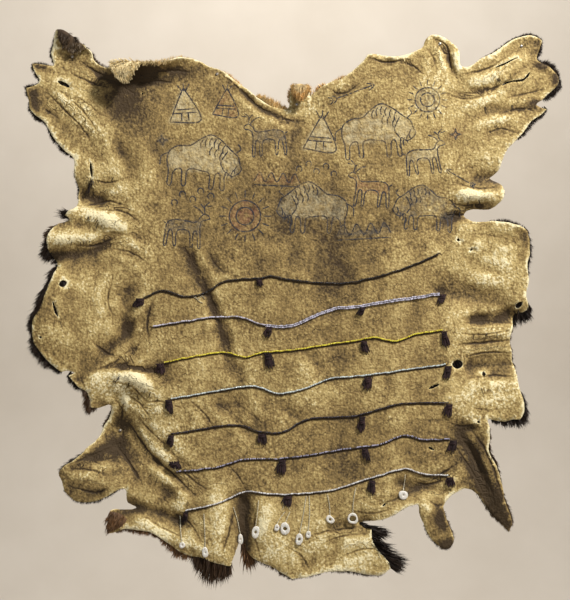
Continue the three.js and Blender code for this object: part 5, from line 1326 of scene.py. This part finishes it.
class ROBE_OT_hair(bpy.types.Operator):
    """Grows the hair that the hide keeps on its back, and the longer hair past its edge"""
    bl_idname = "robe.hair"
    bl_label = "Hair"

    def execute(self, context):
        settings = context.scene.robe_hair
        locks, tree, look = lock_templates(), hair_tree(), hair_material()
        spots, flows, lengths = self.back(settings)
        colours = hair_colours(spots, DARK_HAIR)
        upper = spots[:, 2] > BACK_SPLIT
        pieces = []
        for label, part in (("hair_upper", upper), ("hair_lower", ~upper)):
            pieces.append(grow(label, spots[part], flows[part], lengths[part], colours[part], locks, tree, look,
                               settings.seed))
        past = self.fringes(settings)
        upper = past[0][:, 2] > FRINGE_SPLIT
        for label, part in (("upper_fringe", upper), ("lower_fringe", ~upper)):
            pieces.append(grow(label, *(values[part] for values in past), locks, tree, look, settings.seed + 1))
        for piece in pieces:
            finish_piece(piece, "hair", "hair_coat")
        forget(*list(locks.objects))
        bpy.data.collections.remove(locks)
        return {"FINISHED"}

    def back(self, settings):
        """Roots spread evenly over the back of the skin, with the way and length of each lock."""
        source = np.random.default_rng(settings.seed)
        mesh = SKIN.mesh
        faces = np.array([tuple(f.vertices)[:4] for f in mesh.polygons])
        corners = SKIN.points[faces]
        seen = -SKIN.normals[faces].mean(axis=1)[:, 1] < -0.1
        areas = np.array([f.area for f in mesh.polygons]) * np.where(seen, 4.5, 1.0)
        count = int(areas.sum() * settings.density * 0.5)
        chosen = np.searchsorted(np.cumsum(areas), (np.arange(count) + source.random(count)) / count * areas.sum())
        chosen = np.clip(chosen, 0, len(faces) - 1)
        u, v = source.random(count)[:, None], source.random(count)[:, None]
        quad = corners[chosen]
        spots = (quad[:, 0] * (1 - u) * (1 - v) + quad[:, 1] * u * (1 - v) + quad[:, 2] * u * v
                 + quad[:, 3] * (1 - u) * v)
        outward = -SKIN.normals[faces[chosen, 0]]
        spots = spots + outward * 2.7 * MM
        gap = SKIN.outer_gap[faces[chosen, 0]]
        down = np.stack([0.35 * np.tanh(spots[:, 0] / 0.2), np.zeros(count), -np.ones(count)], axis=1)
        down += 0.25 * np.stack([noise_field(spots, 11, 6), np.zeros(count), noise_field(spots, 11, 8)], axis=1)
        down -= outward * (down * outward).sum(axis=1)[:, None]
        down /= np.linalg.norm(down, axis=1)[:, None]
        flows = down * settings.lean + outward
        lengths = settings.length * source.uniform(0.8, 1.2, count)
        shown = seen[chosen]
        lengths = np.minimum(lengths, np.where(shown, 11 * MM, 3.5 * MM) + gap * np.where(shown, 0.3, 0.8))
        return spots, flows, lengths

    def fringes(self, settings):
        source = seeded("fringes")
        spots, flows, lengths, colours = [], [], [], []
        loop = SKIN.loops[0]
        ring = SKIN.points[loop]
        flat = ring[:, [0, 2]] / MM
        for start, end, sweep, thick, droop, colour in FRINGES:
            a = int(np.argmin(np.linalg.norm(flat - start, axis=1)))
            b = int(np.argmin(np.linalg.norm(flat - end, axis=1)))
            forth = (b - a) % len(loop)
            back = (a - b) % len(loop)
            order = [(a + k) % len(loop) for k in range(forth + 1)]
            if back < forth:
                order = [(a - k) % len(loop) for k in range(back + 1)]
            line = ring[order]
            inwards = SKIN.normals[[loop[k] for k in order]]
            steps = np.concatenate([[0], np.cumsum(np.linalg.norm(np.diff(line, axis=0), axis=1))])
            count = max(3, int(steps[-1] * FRINGE_LOCKS * thick))
            reach = np.hypot(*sweep) * MM
            outward = np.array([sweep[0], 0, sweep[1]], float) * MM / reach
            way = outward + np.array([0, 0, -droop])
            way /= np.linalg.norm(way)
            tips = max(0.35, way @ outward)
            clumped = min(1.0, max(0.1, reach / (18 * MM) - 0.4))
            for _ in range(count):
                at = source.uniform(0, steps[-1])
                full = 0.45 + 0.55 * math.sin(math.pi * at / steps[-1])
                spot = np.array([np.interp(at, steps, line[:, axis]) for axis in range(3)])
                back_way = -np.array([np.interp(at, steps, inwards[:, axis]) for axis in range(3)])
                inside = source.uniform(2, 12) * MM
                root = spot + back_way * source.uniform(2.4, 5.0) * MM - way * inside
                skin = SKIN.front(root[0], root[2]) if back_way[1] > 0.3 else None
                if skin is not None:
                    root[1] = max(root[1], skin + source.uniform(3.4, 5.0) * MM)
                spots.append(root)
                which = math.floor(at / CLUMP)
                off = (which + 0.5 + 0.25 * math.sin(9 * which)) * CLUMP - at
                ahead = np.array([np.interp(at + 3 * MM, steps, line[:, axis])
                                  - np.interp(at - 3 * MM, steps, line[:, axis]) for axis in range(3)])
                gather = ahead / max(np.linalg.norm(ahead), 1e-6) * off / (inside + reach)
                turn = np.array([source.gauss(0, 0.09), source.gauss(0, 0.07), source.gauss(0, 0.09)])
                flows.append(way + turn + gather * 0.85 * clumped + back_way * 0.10)
                full *= 1.0 + clumped * (0.12 - 0.5 * abs(off) / (4 * MM))
                lengths.append(inside + reach * full * source.triangular(0.5, 1.1, 0.95) / tips)
                colours.append((*(np.array(colour) * source.uniform(0.7, 1.3)), 1.0))
        # Dark coat hair grown long enough to hang across each hole from behind; it is the coat's hair and also stands
        # in for the shade seen through the holes.
        for loop in SKIN.loops[1:]:
            ring = SKIN.points[loop]
            wide, tall = np.ptp(ring[:, 0]), np.ptp(ring[:, 2])
            if max(wide, tall) < 4.2 * MM:
                continue
            back_way = -SKIN.normals[loop].mean(axis=0)
            middle = ring.mean(axis=0)
            for _ in range(int(16 + max(wide, tall) * 1600)):
                at = ring[source.randrange(len(ring))]
                spot = middle + (at - middle) * source.uniform(0.0, 1.5)
                lift = (tall / 2 + source.uniform(1, 5) * MM) if source.random() < 0.7 else 0.0
                root = spot + back_way * source.uniform(4.0, 7.5) * MM + np.array([0, 0, lift])
                root[1] = max(root[1], (SKIN.front(root[0], root[2]) or -1.0) + source.uniform(6.0, 8.5) * MM)
                spots.append(root)
                flows.append((source.gauss(0, 0.25), 0.12, -1.0))
                lengths.append(tall + source.uniform(7, 15) * MM)
                colours.append((*(np.array(DARK_HAIR) * source.uniform(0.6, 1.2)), 1.0))
        return np.array(spots), np.array(flows), np.array(lengths), np.array(colours)


# Beads, wool, shells and nails

# String, colour of its beads, how much their shades differ
STRING_LOOKS = [
    (1, "beads_black", (0.014, 0.013, 0.017), 0.4), (2, "beads_grey", (0.50, 0.49, 0.60), 0.5),
    (3, "beads_yellow", (0.84, 0.64, 0.06), 0.3), (4, "beads_pale_blue", (0.60, 0.70, 0.78), 0.35),
    # Row six's wide spread makes some of its black beads far lighter: painted highlights.
    (5, "beads_black", (0.016, 0.014, 0.022), 1.5), (6, "beads_black", (0.060, 0.058, 0.080), 6.0),
    (7, "beads_grey", (0.66, 0.65, 0.72), 0.6),
]


def bead_tree():
    """Beads along a thread, each tilted a little in its own way."""
    tree, given, result = node_group("beads on a thread", [
        ("Bead", "NodeSocketObject"), ("Pitch", "NodeSocketFloat"), ("Seed", "NodeSocketInt"),
        ("Thread radius", "NodeSocketFloat"), ("Glass", "NodeSocketMaterial"), ("Thread", "NodeSocketMaterial")])
    curve = result_of(tree, "GeometryNodeMeshToCurve", {0: given["Geometry"]})
    spaced = result_of(tree, "GeometryNodeResampleCurve", {"Curve": curve, "Length": given["Pitch"]}, mode="LENGTH")
    bead = add_node(tree, "GeometryNodeObjectInfo", {0: given["Bead"]}).outputs["Geometry"]
    tilt = random_value(tree, (-0.3, -0.3, -3.1), (0.3, 0.3, 3.1), given["Seed"], "FLOAT_VECTOR")
    turn = aligned_rotation(tree, result_of(tree, "GeometryNodeInputTangent"), tilt)
    size = random_value(tree, 0.82, 1.12, given["Seed"])
    strung = result_of(tree, "GeometryNodeInstanceOnPoints", {
        "Points": spaced, "Instance": bead, "Rotation": turn, "Scale": size})
    strung = result_of(tree, "GeometryNodeStoreNamedAttribute", {
        "Geometry": strung, "Name": "shade", "Value": random_value(tree, 0.0, 1.0, given["Seed"])},
        data_type="FLOAT", domain="INSTANCE")
    strung = as_mesh(tree, strung, given["Glass"])
    ring = result_of(tree, "GeometryNodeCurvePrimitiveCircle", {"Resolution": 6, "Radius": given["Thread radius"]})
    thread = result_of(tree, "GeometryNodeCurveToMesh", {"Curve": curve, "Profile Curve": ring})
    thread = result_of(tree, "GeometryNodeSetMaterial", {0: thread, "Material": given["Thread"]})
    both = tree.nodes.new("GeometryNodeJoinGeometry")
    tree.links.new(thread, both.inputs[0])
    tree.links.new(strung, both.inputs[0])
    tree.links.new(both.outputs[0], result[0])
    return tree


def bead_template(settings):
    """A seed bead: a short fat ring with its hole along Z."""
    vertices, faces = [], []
    outline = [(0.40, -0.5), (0.80, -0.66), (1.0, -0.2), (1.0, 0.2), (0.80, 0.66), (0.40, 0.5)]
    around = 9
    for k in range(around):
        angle = 2 * math.pi * k / around
        for radius, height in outline:
            vertices.append((settings.radius * radius * math.cos(angle), settings.radius * radius * math.sin(angle),
                             settings.radius * height))
    for k in range(around):
        a, b = k * len(outline), (k + 1) % around * len(outline)
        faces.extend((a + i, b + i, b + i + 1, a + i + 1) for i in range(len(outline) - 1))
    return object_from("bead_template", vertices, faces)


def glass_material(name, colour, spread):
    made, tree, shader = new_material(name)
    shade = attribute(tree, "shade")
    dark = tuple(c * (1 - 0.5 * min(spread, 1.0)) for c in colour)
    light = tuple(min(0.92, c * (1 + spread)) for c in colour)
    dull = noise_value(tree, object_coordinates(tree), 60, 3)
    colour = ramp(tree, shade, [(0.1, dark), (0.75, light)])
    colour = mix_colour(tree, 0.5, colour, ramp(tree, dull, [(0.3, (0.5, 0.48, 0.45)), (0.7, (1, 1, 1))]), "MULTIPLY")
    rough = plus(tree, times(tree, shade, 0.15), 0.16)
    set_inputs(tree, shader, {"Base Color": colour, "Roughness": rough, "Coat Weight": 0.35})
    add_bump(tree, shader, noise_value(tree, object_coordinates(tree), 900, 2), 0.05 * MM)
    return made


def thread_material(name, colour):
    made, tree, shader = new_material(name)
    place = object_coordinates(tree)
    tint = ramp(tree, noise_value(tree, place, 160, 4, 0.6), [
        (0.3, tuple(c * 0.6 for c in colour)), (0.7, tuple(min(1.0, c * 1.15) for c in colour))])
    set_inputs(tree, shader, {"Base Color": tint, "Roughness": 0.85, "Sheen Weight": 0.25})
    add_bump(tree, shader, noise_value(tree, place, 1400, 3), 0.12 * MM)
    return made


def laid_line(line, stand, smoothing=3):
    """A line in millimetres across and up, laid on the skin at a height above it."""
    heights = np.array([SKIN.highest(x * MM, z * MM, 1.2 * MM) for x, z in line]) - stand
    for _ in range(smoothing):
        padded = np.pad(heights, 1, mode="edge")
        heights = np.minimum(heights, (padded[:-2] + padded[1:-1] + padded[2:]) / 3)
    return np.stack([line[:, 0] * MM, heights, line[:, 1] * MM], axis=1)


class ROBE_OT_beads(bpy.types.Operator):
    """Strings the seed beads of the seven rows and lays them on the skin"""
    bl_idname = "robe.beads"
    bl_label = "Bead strings"

    def execute(self, context):
        settings = context.scene.robe_beads
        bead, tree = bead_template(settings), bead_tree()
        cotton = thread_material("bead_thread", (0.42, 0.36, 0.24))
        for number, slot, colour, spread in STRING_LOOKS:
            line = string_line(number, 3.0)
            look = glass_material(f"{slot}_{number}", colour, spread)
            strands = [line]
            if number == DOUBLED_STRING:
                strands.append(line[line[:, 0] > -64] + np.array([0, -3.4]))
            pieces = []
            for k, strand in enumerate(strands):
                laid = laid_line(strand, settings.radius + 0.8 * MM)
                made = object_from(f"strand_{number}_{k}", laid, [], [(i, i + 1) for i in range(len(laid) - 1)])
                run_nodes(made, tree, bead=bead, pitch=settings.pitch, seed=settings.seed + number,
                          thread_radius=0.35 * MM, glass=look, thread=cotton)
                pieces.append(made)
            if number == OPEN_STRING:
                ends = [laid_line(smooth_line(path, 2), 0.8 * MM, 1)
                        for path in ([(-206, -388), (-198, -392), (-190, -386), (-184, -392)],
                                     [(-204, -386), (-196, -396), (-188, -400)])]
                pieces.append(make_cords("thread_ends", ends, [0.7 * MM] * 2, 6, cotton))
            made = join_pieces(f"beads_row_{number}", pieces)
            shade_smooth(made.data)
            finish_piece(made, slot, f"bead_string_{number}")
        forget(bead)
        return {"FINISHED"}


def wool_material(settings):
    made, tree, shader = new_material("wool")
    place = object_coordinates(tree)
    shade = attribute(tree, "shade")
    fibre = noise_value(tree, place, 700, 4, 0.6)
    value = plus(tree, times(tree, shade, 0.55), times(tree, fibre, 0.6))
    colour = ramp(tree, value, [
        (0.2, tuple(c * 0.5 for c in settings.colour)), (0.55, tuple(settings.colour)),
        (0.95, tuple(c * 3.2 for c in settings.colour))])
    set_inputs(tree, shader, {"Base Color": colour, "Roughness": 0.95, "Sheen Weight": 0.12,
                              "Sheen Roughness": 0.4, "Sheen Tint": (0.25, 0.12, 0.14, 1)})
    add_bump(tree, shader, fibre, 0.4 * MM)
    return made


class ROBE_OT_wool(bpy.types.Operator):
    """Ties the dark wool tufts over the strings of beads"""
    bl_idname = "robe.wool"
    bl_label = "Wool tufts"

    def execute(self, context):
        settings = context.scene.robe_wool
        look = wool_material(settings)
        cotton = thread_material("tuft_thread", (0.66, 0.58, 0.42))
        for number in TUFTS:
            low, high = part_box(f"wool_tuft_{number}")
            source = seeded(f"tuft {number}")
            lines, radii, shades = self.strands(low, high, settings, source)
            pieces = [make_cords(f"tuft_yarn_{number}", lines, radii, 6, look, shades)]
            if number == FRAYED_TUFT:
                frays = [laid_line(smooth_line(path, 2), 0.8 * MM, 1)
                         for path in ([(-28, -790), (-26, -800), (-30, -808)], [(-22, -790), (-18, -802), (-14, -808)])]
                pieces.append(make_cords("tuft_fray", frays, [0.45 * MM] * 2, 5, cotton))
            made = join_pieces(f"wool_{number}", pieces)
            finish_piece(made, "wool", f"wool_tuft_{number}")
        return {"FINISHED"}

    def strands(self, low, high, settings, source):
        """Yarn from a knot at the top, flaring to the box's foot, and three turns that tie it."""
        middle, broad = (low.x + high.x) / 2, high.x - low.x
        tall = high.z - low.z
        lines, radii, shades = [], [], []
        swing, foot_side = source.uniform(-0.34, 0.34) * broad, source.uniform(-0.16, 0.16)
        neck, waist = source.uniform(0.66, 0.86), source.uniform(0.16, 0.32)
        count = int(settings.strands * broad / (20 * MM)) + 4
        for k in range(count):
            side = (k + 0.5) / count * 2 - 1 + source.uniform(-0.12, 0.12)
            layer = source.random()
            foot = low.z + tall * (source.uniform(0.0, 0.20) + 0.12 * abs(side) + foot_side * side)
            stray = source.gauss(0, 0.06) * broad
            line = []
            for share in np.linspace(0, 1, 9):
                narrow = neck - 0.14 * math.exp(-((share - waist) / 0.14) ** 2) + 0.16 * share
                x = middle + side * broad * 0.45 * narrow + swing * (share - 0.35) + stray * share ** 2
                x += math.sin(share * 5 + k * 1.7) * 0.8 * MM
                z = high.z - 1.0 * MM - (high.z - 1.0 * MM - foot) * share
                bulge = (1.0 + 4.2 * layer) * math.sqrt(max(0.05, 1 - (side * 0.8) ** 2))
                bulge *= 1 - 0.35 * share
                line.append((x, SKIN.highest(x, z, 1.5 * MM) - settings.yarn - bulge * MM, z))
            lines.append(line)
            taper = np.array([0.75, 1, 1, 1, 1.05, 1.05, 1, 0.85, 0.35])
            radii.append(settings.yarn * source.uniform(0.8, 1.2) * taper)
            shades.append(source.random())
        for turn in range(3):
            z = high.z - tall * (waist - 0.06 + 0.07 * turn)
            line = []
            for angle in np.linspace(0.1, math.pi - 0.1, 9):
                x = middle + swing * (waist - 0.35) - math.cos(angle) * broad * 0.36 * neck
                line.append((x, SKIN.highest(x, z, 1.5 * MM) - 0.8 * MM - math.sin(angle) * 6.2 * MM,
                             z + math.sin(angle * 2 + turn) * 0.8 * MM))
            lines.append(line)
            radii.append(settings.yarn * 0.95)
            shades.append(source.random())
        return lines, radii, shades


# Shells: upper end of the thread, middle, width, height, turn, hole, all in millimetres and degrees
SHELLS = [
    ((-232, -822), (-226, -876), 12, 12, 30, 0), ((-184, -816), (-181, -890), 12, 21, 0, 0),
    ((-126, -804), (-112, -868), 10, 21, 6, 0), ((-76, -790), (-82, -851), 15, 24, -14, 5),
    ((-24, -812), (-40, -842), 10, 14, 0, 0), ((-14, -812), (-24, -844), 18, 25, 12, 7),
    ((18, -781), (4, -865), 14, 24, -5, 5), ((24, -781), (22, -856), 10, 15, 0, 0),
    ((60, -778), (65, -827), 18, 14, -35, 5), ((116, -765), (110, -826), 20, 22, 0, 12),
    ((214, -740), (210, -780), 18, 18, 0, 0),
]


def shell_material(settings):
    made, tree, shader = new_material("shell")
    place = object_coordinates(tree)
    bands = add_node(tree, "ShaderNodeTexWave", {"Vector": place, "Scale": 130.0, "Distortion": 5.0, "Detail": 2.0})
    value = plus(tree, times(tree, bands.outputs[1], 0.35), noise_value(tree, place, 260, 4))
    light = tuple(settings.shell)
    colour = ramp(tree, value, [(0.35, tuple(c * 0.55 for c in light)), (0.62, light), (0.9, (0.88, 0.86, 0.80))])
    set_inputs(tree, shader, {"Base Color": colour, "Roughness": 0.34, "Coat Weight": 0.25,
                              "Subsurface Weight": 0.1, "Subsurface Radius": (0.002, 0.0015, 0.001)})
    add_bump(tree, shader, value, 0.35 * MM)
    return made


class ROBE_OT_shells(bpy.types.Operator):
    """Cuts the shell pendants and hangs them on twisted threads"""
    bl_idname = "robe.shells"
    bl_label = "Shell pendants"

    def execute(self, context):
        settings = context.scene.robe_shells
        shell = shell_material(settings)
        cotton = thread_material("shell_thread", (0.74, 0.68, 0.50))
        for number, (top, middle, width, height, turn, bore) in enumerate(SHELLS, 1):
            body = self.shell(number, middle, width, height, turn, bore, settings, shell)
            thread = self.thread(number, top, middle, height, settings, cotton)
            made = join_pieces(f"shell_{number}", [body, thread])
            finish_piece(made, "shell", f"shell_pendant_{number}")
        return {"FINISHED"}

    def shell(self, number, middle, width, height, turn, bore, settings, look):
        """A cut shell: an uneven rounded outline, with a hole if it is a ring."""
        source = seeded(f"shell {number}")
        around, rings = 36, 12
        hole = max(bore, 1.8) / 2
        phase = [source.uniform(0, 6.3) for _ in range(3)]
        c, s = math.cos(math.radians(turn)), math.sin(math.radians(turn))
        base = SKIN.highest(middle[0] * MM, middle[1] * MM, min(width, height) * 0.35 * MM)
        vertices, faces = [], []
        for k in range(around):
            angle = 2 * math.pi * k / around
            uneven = 1 + 0.05 * math.sin(2 * angle + phase[0]) + 0.04 * math.sin(3 * angle + phase[1])
            outer = uneven / ((abs(math.cos(angle)) / (width / 2)) ** 2.3
                              + (abs(math.sin(angle)) / (height / 2)) ** 2.3) ** (1 / 2.3)
            inner = min(hole * (1 + 0.08 * math.sin(2 * angle + phase[2])), outer * 0.7)
            for j in range(rings):
                roll = 2 * math.pi * j / rings
                radius = (outer + inner) / 2 - (outer - inner) / 2 * math.cos(roll)
                u, v = radius * math.cos(angle), radius * math.sin(angle)
                sink = math.copysign(abs(math.sin(roll)) ** 0.7, math.sin(roll)) * settings.depth / 2
                vertices.append(((middle[0] + u * c - v * s) * MM, base - settings.depth / 2 - 0.3 * MM + sink,
                                 (middle[1] + u * s + v * c) * MM))
        for k in range(around):
            for j in range(rings):
                a, b = k * rings, (k + 1) % around * rings
                faces.append((a + j, a + (j + 1) % rings, b + (j + 1) % rings, b + j))
        made = object_from(f"shell_body_{number}", vertices, faces)
        made.data.materials.append(look)
        shade_smooth(made.data)
        return made

    def thread(self, number, top, middle, height, settings, look):
        """Two plies twisted round each other from the beads down to the shell."""
        source = seeded(f"thread {number}")
        foot = np.array(middle, float) + np.array([0, height * 0.34])
        bow = np.array([source.uniform(-2.4, 2.4), 0])
        line = smooth_line([top, (np.array(top) * 0.5 + foot * 0.5) + bow, foot], 1.6)
        laid = laid_line(line, 1.2 * MM)
        laid[-4:, 1] -= np.array([0.6, 1.4, 2.4, 3.2]) * MM
        lines = []
        for ply in (0, math.pi):
            twist = np.arange(len(laid)) * 1.1 + ply
            lines.append(laid + np.stack([np.cos(twist), np.sin(twist), np.zeros(len(laid))], axis=1) * 0.5 * MM)
        return make_cords(f"shell_thread_{number}", lines, [settings.thread] * 2, 6, look)


def nail_material():
    made, tree, shader = new_material("nail_metal")
    place = object_coordinates(tree)
    spots = noise_value(tree, place, 420, 5, 0.7)
    colour = ramp(tree, spots, [(0.38, (0.10, 0.055, 0.03)), (0.5, (0.42, 0.39, 0.35)), (0.7, (0.62, 0.60, 0.56))])
    rough = ramp(tree, spots, [(0.38, (0.8, 0.8, 0.8)), (0.6, (0.34, 0.34, 0.34))])
    set_inputs(tree, shader, {"Base Color": colour, "Metallic": 0.9, "Roughness": rough})
    add_bump(tree, shader, spots, 0.15 * MM)
    return made


class ROBE_OT_nails(bpy.types.Operator):
    """Turns the six nails that hold the hide"""
    bl_idname = "robe.nails"
    bl_label = "Nails"

    def execute(self, context):
        look = nail_material()
        for number in NAILS:
            low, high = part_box(f"nail_{number}")
            middle = ((low.x + high.x) / 2, (low.z + high.z) / 2)
            head = (high.x - low.x) / 2
            y = low.y
            profile = [(0.0, y), (head * 0.45, y + 0.12 * MM), (head * 0.82, y + 0.5 * MM), (head, y + 1.1 * MM),
                       (head * 0.94, y + 1.6 * MM), (head * 0.5, y + 1.9 * MM), (1.0 * MM, y + 2.2 * MM),
                       (1.0 * MM, high.y - 3 * MM), (0.0, high.y - 0.1 * MM)]
            vertices, faces = [], []
            around = 28
            for radius, place in profile:
                for k in range(around):
                    angle = 2 * math.pi * k / around
                    vertices.append((middle[0] + radius * math.cos(angle), place, middle[1] + radius * math.sin(angle)))
            for j in range(len(profile) - 1):
                for k in range(around):
                    a, b = j * around + k, j * around + (k + 1) % around
                    faces.append((a, b, b + around, a + around))
            made = object_from(f"wall_nail_{number}", vertices, faces)
            join = bmesh.new()
            join.from_mesh(made.data)
            bmesh.ops.remove_doubles(join, verts=join.verts, dist=1e-7)
            bmesh.ops.recalc_face_normals(join, faces=join.faces)
            join.to_mesh(made.data)
            join.free()
            made.data.materials.append(look)
            shade_smooth(made.data)
            finish_piece(made, "nail", f"nail_{number}")
        return {"FINISHED"}


# Stage

class ROBE_OT_stage(bpy.types.Operator):
    """Sets the plain room, the lights and the camera"""
    bl_idname = "robe.stage"
    bl_label = "Stage"

    def execute(self, context):
        settings = context.scene.robe_stage
        made = [self.room(), *self.lights(settings), self.camera(context, settings)]
        world = bpy.data.worlds.new("room light")
        world.use_nodes = True
        tree = world.node_tree
        set_inputs(tree, tree.nodes["Background"], {"Color": (0.93, 0.96, 1.0, 1), "Strength": settings.even})
        context.scene.world = world
        context.scene.view_settings.view_transform = "Standard"
        return {"FINISHED"}

    def room(self):
        """A pale floor that curves up into a far wall."""
        floor, far, curve, half = -2.4, 5.6, 1.6, 9.0
        profile = [(-9.0, floor), (far - curve, floor)]
        profile += [(far - curve + curve * math.sin(a), floor + curve - curve * math.cos(a))
                    for a in np.linspace(0.1, math.pi / 2, 16)]
        profile += [(far, 6.0)]
        vertices = [(x, y, z) for y, z in profile for x in (-half, half)]
        faces = [(2 * i, 2 * i + 1, 2 * i + 3, 2 * i + 2) for i in range(len(profile) - 1)]
        made = object_from("room", vertices, faces)
        shade_smooth(made.data)
        look, tree, shader = new_material("room_paint")
        place = object_coordinates(tree)
        colour = ramp(tree, noise_value(tree, place, 3, 4), [(0.3, (0.60, 0.54, 0.46)), (0.7, (0.64, 0.58, 0.50))])
        set_inputs(tree, shader, {"Base Color": colour, "Roughness": 0.9})
        made.data.materials.append(look)
        return made

    def lights(self, settings):
        made = []
        for name, place, aim, size, power, colour in (
                ("key", (1.7, -1.7, 2.2), (0, 0, -0.45), 0.45, settings.key, (1.0, 0.96, 0.90)),
                ("fill", (-1.0, -3.4, 0.2), (0, 0, -0.4), 2.0, settings.fill, (0.95, 0.97, 1.0)),
                ("backdrop", (0, 2.6, 3.2), (0, 5.6, -0.6), 3.0, settings.backdrop, (1.0, 0.97, 0.93))):
            light = bpy.data.lights.new(name, "AREA")
            light.size = size
            light.energy = power
            light.color = colour
            lamp = bpy.data.objects.new(name, light)
            lamp.location = place
            way = Vector(aim) - Vector(place)
            lamp.rotation_euler = way.to_track_quat("-Z", "Y").to_euler()
            bpy.context.scene.collection.objects.link(lamp)
            made.append(lamp)
        return made

    def camera(self, context, settings):
        lens = bpy.data.cameras.new("camera")
        lens.sensor_width = 36
        lens.lens = 36 * settings.distance / settings.high
        camera = bpy.data.objects.new("camera", lens)
        camera.location = (settings.middle_x, -settings.distance - 0.03, settings.middle_z)
        camera.rotation_euler = (math.pi / 2, 0, 0)
        context.scene.collection.objects.link(camera)
        context.scene.camera = camera
        return camera


OPERATORS = [ROBE_OT_skin, ROBE_OT_painting, ROBE_OT_hair, ROBE_OT_beads, ROBE_OT_wool, ROBE_OT_shells,
             ROBE_OT_nails, ROBE_OT_stage]


class ROBE_PT_panel(bpy.types.Panel):
    """The steps that make the hide robe, with their values"""
    bl_label = "Hide Robe"
    bl_idname = "ROBE_PT_panel"
    bl_space_type = "VIEW_3D"
    bl_region_type = "UI"
    bl_category = "Hide Robe"

    def draw(self, context):
        for step in OPERATORS:
            self.layout.operator(step.bl_idname)
        for name, group in SETTINGS.items():
            box = self.layout.box()
            box.label(text=group.__name__.removesuffix("Settings"))
            for value in group.__annotations__:
                box.prop(getattr(context.scene, name), value)


def register():
    for group in (*SETTINGS.values(), *OPERATORS, ROBE_PT_panel):
        bpy.utils.register_class(group)
    for name, group in SETTINGS.items():
        setattr(bpy.types.Scene, name, PointerProperty(type=group))


def unregister():
    for name in SETTINGS:
        delattr(bpy.types.Scene, name)
    for group in reversed((*SETTINGS.values(), *OPERATORS, ROBE_PT_panel)):
        bpy.utils.unregister_class(group)


def main():
    register()
    for step in OPERATORS:
        family, name = step.bl_idname.split(".")
        getattr(getattr(bpy.ops, family), name)()
    forget(SKIN.object)


if __name__ == "__main__":
    main()
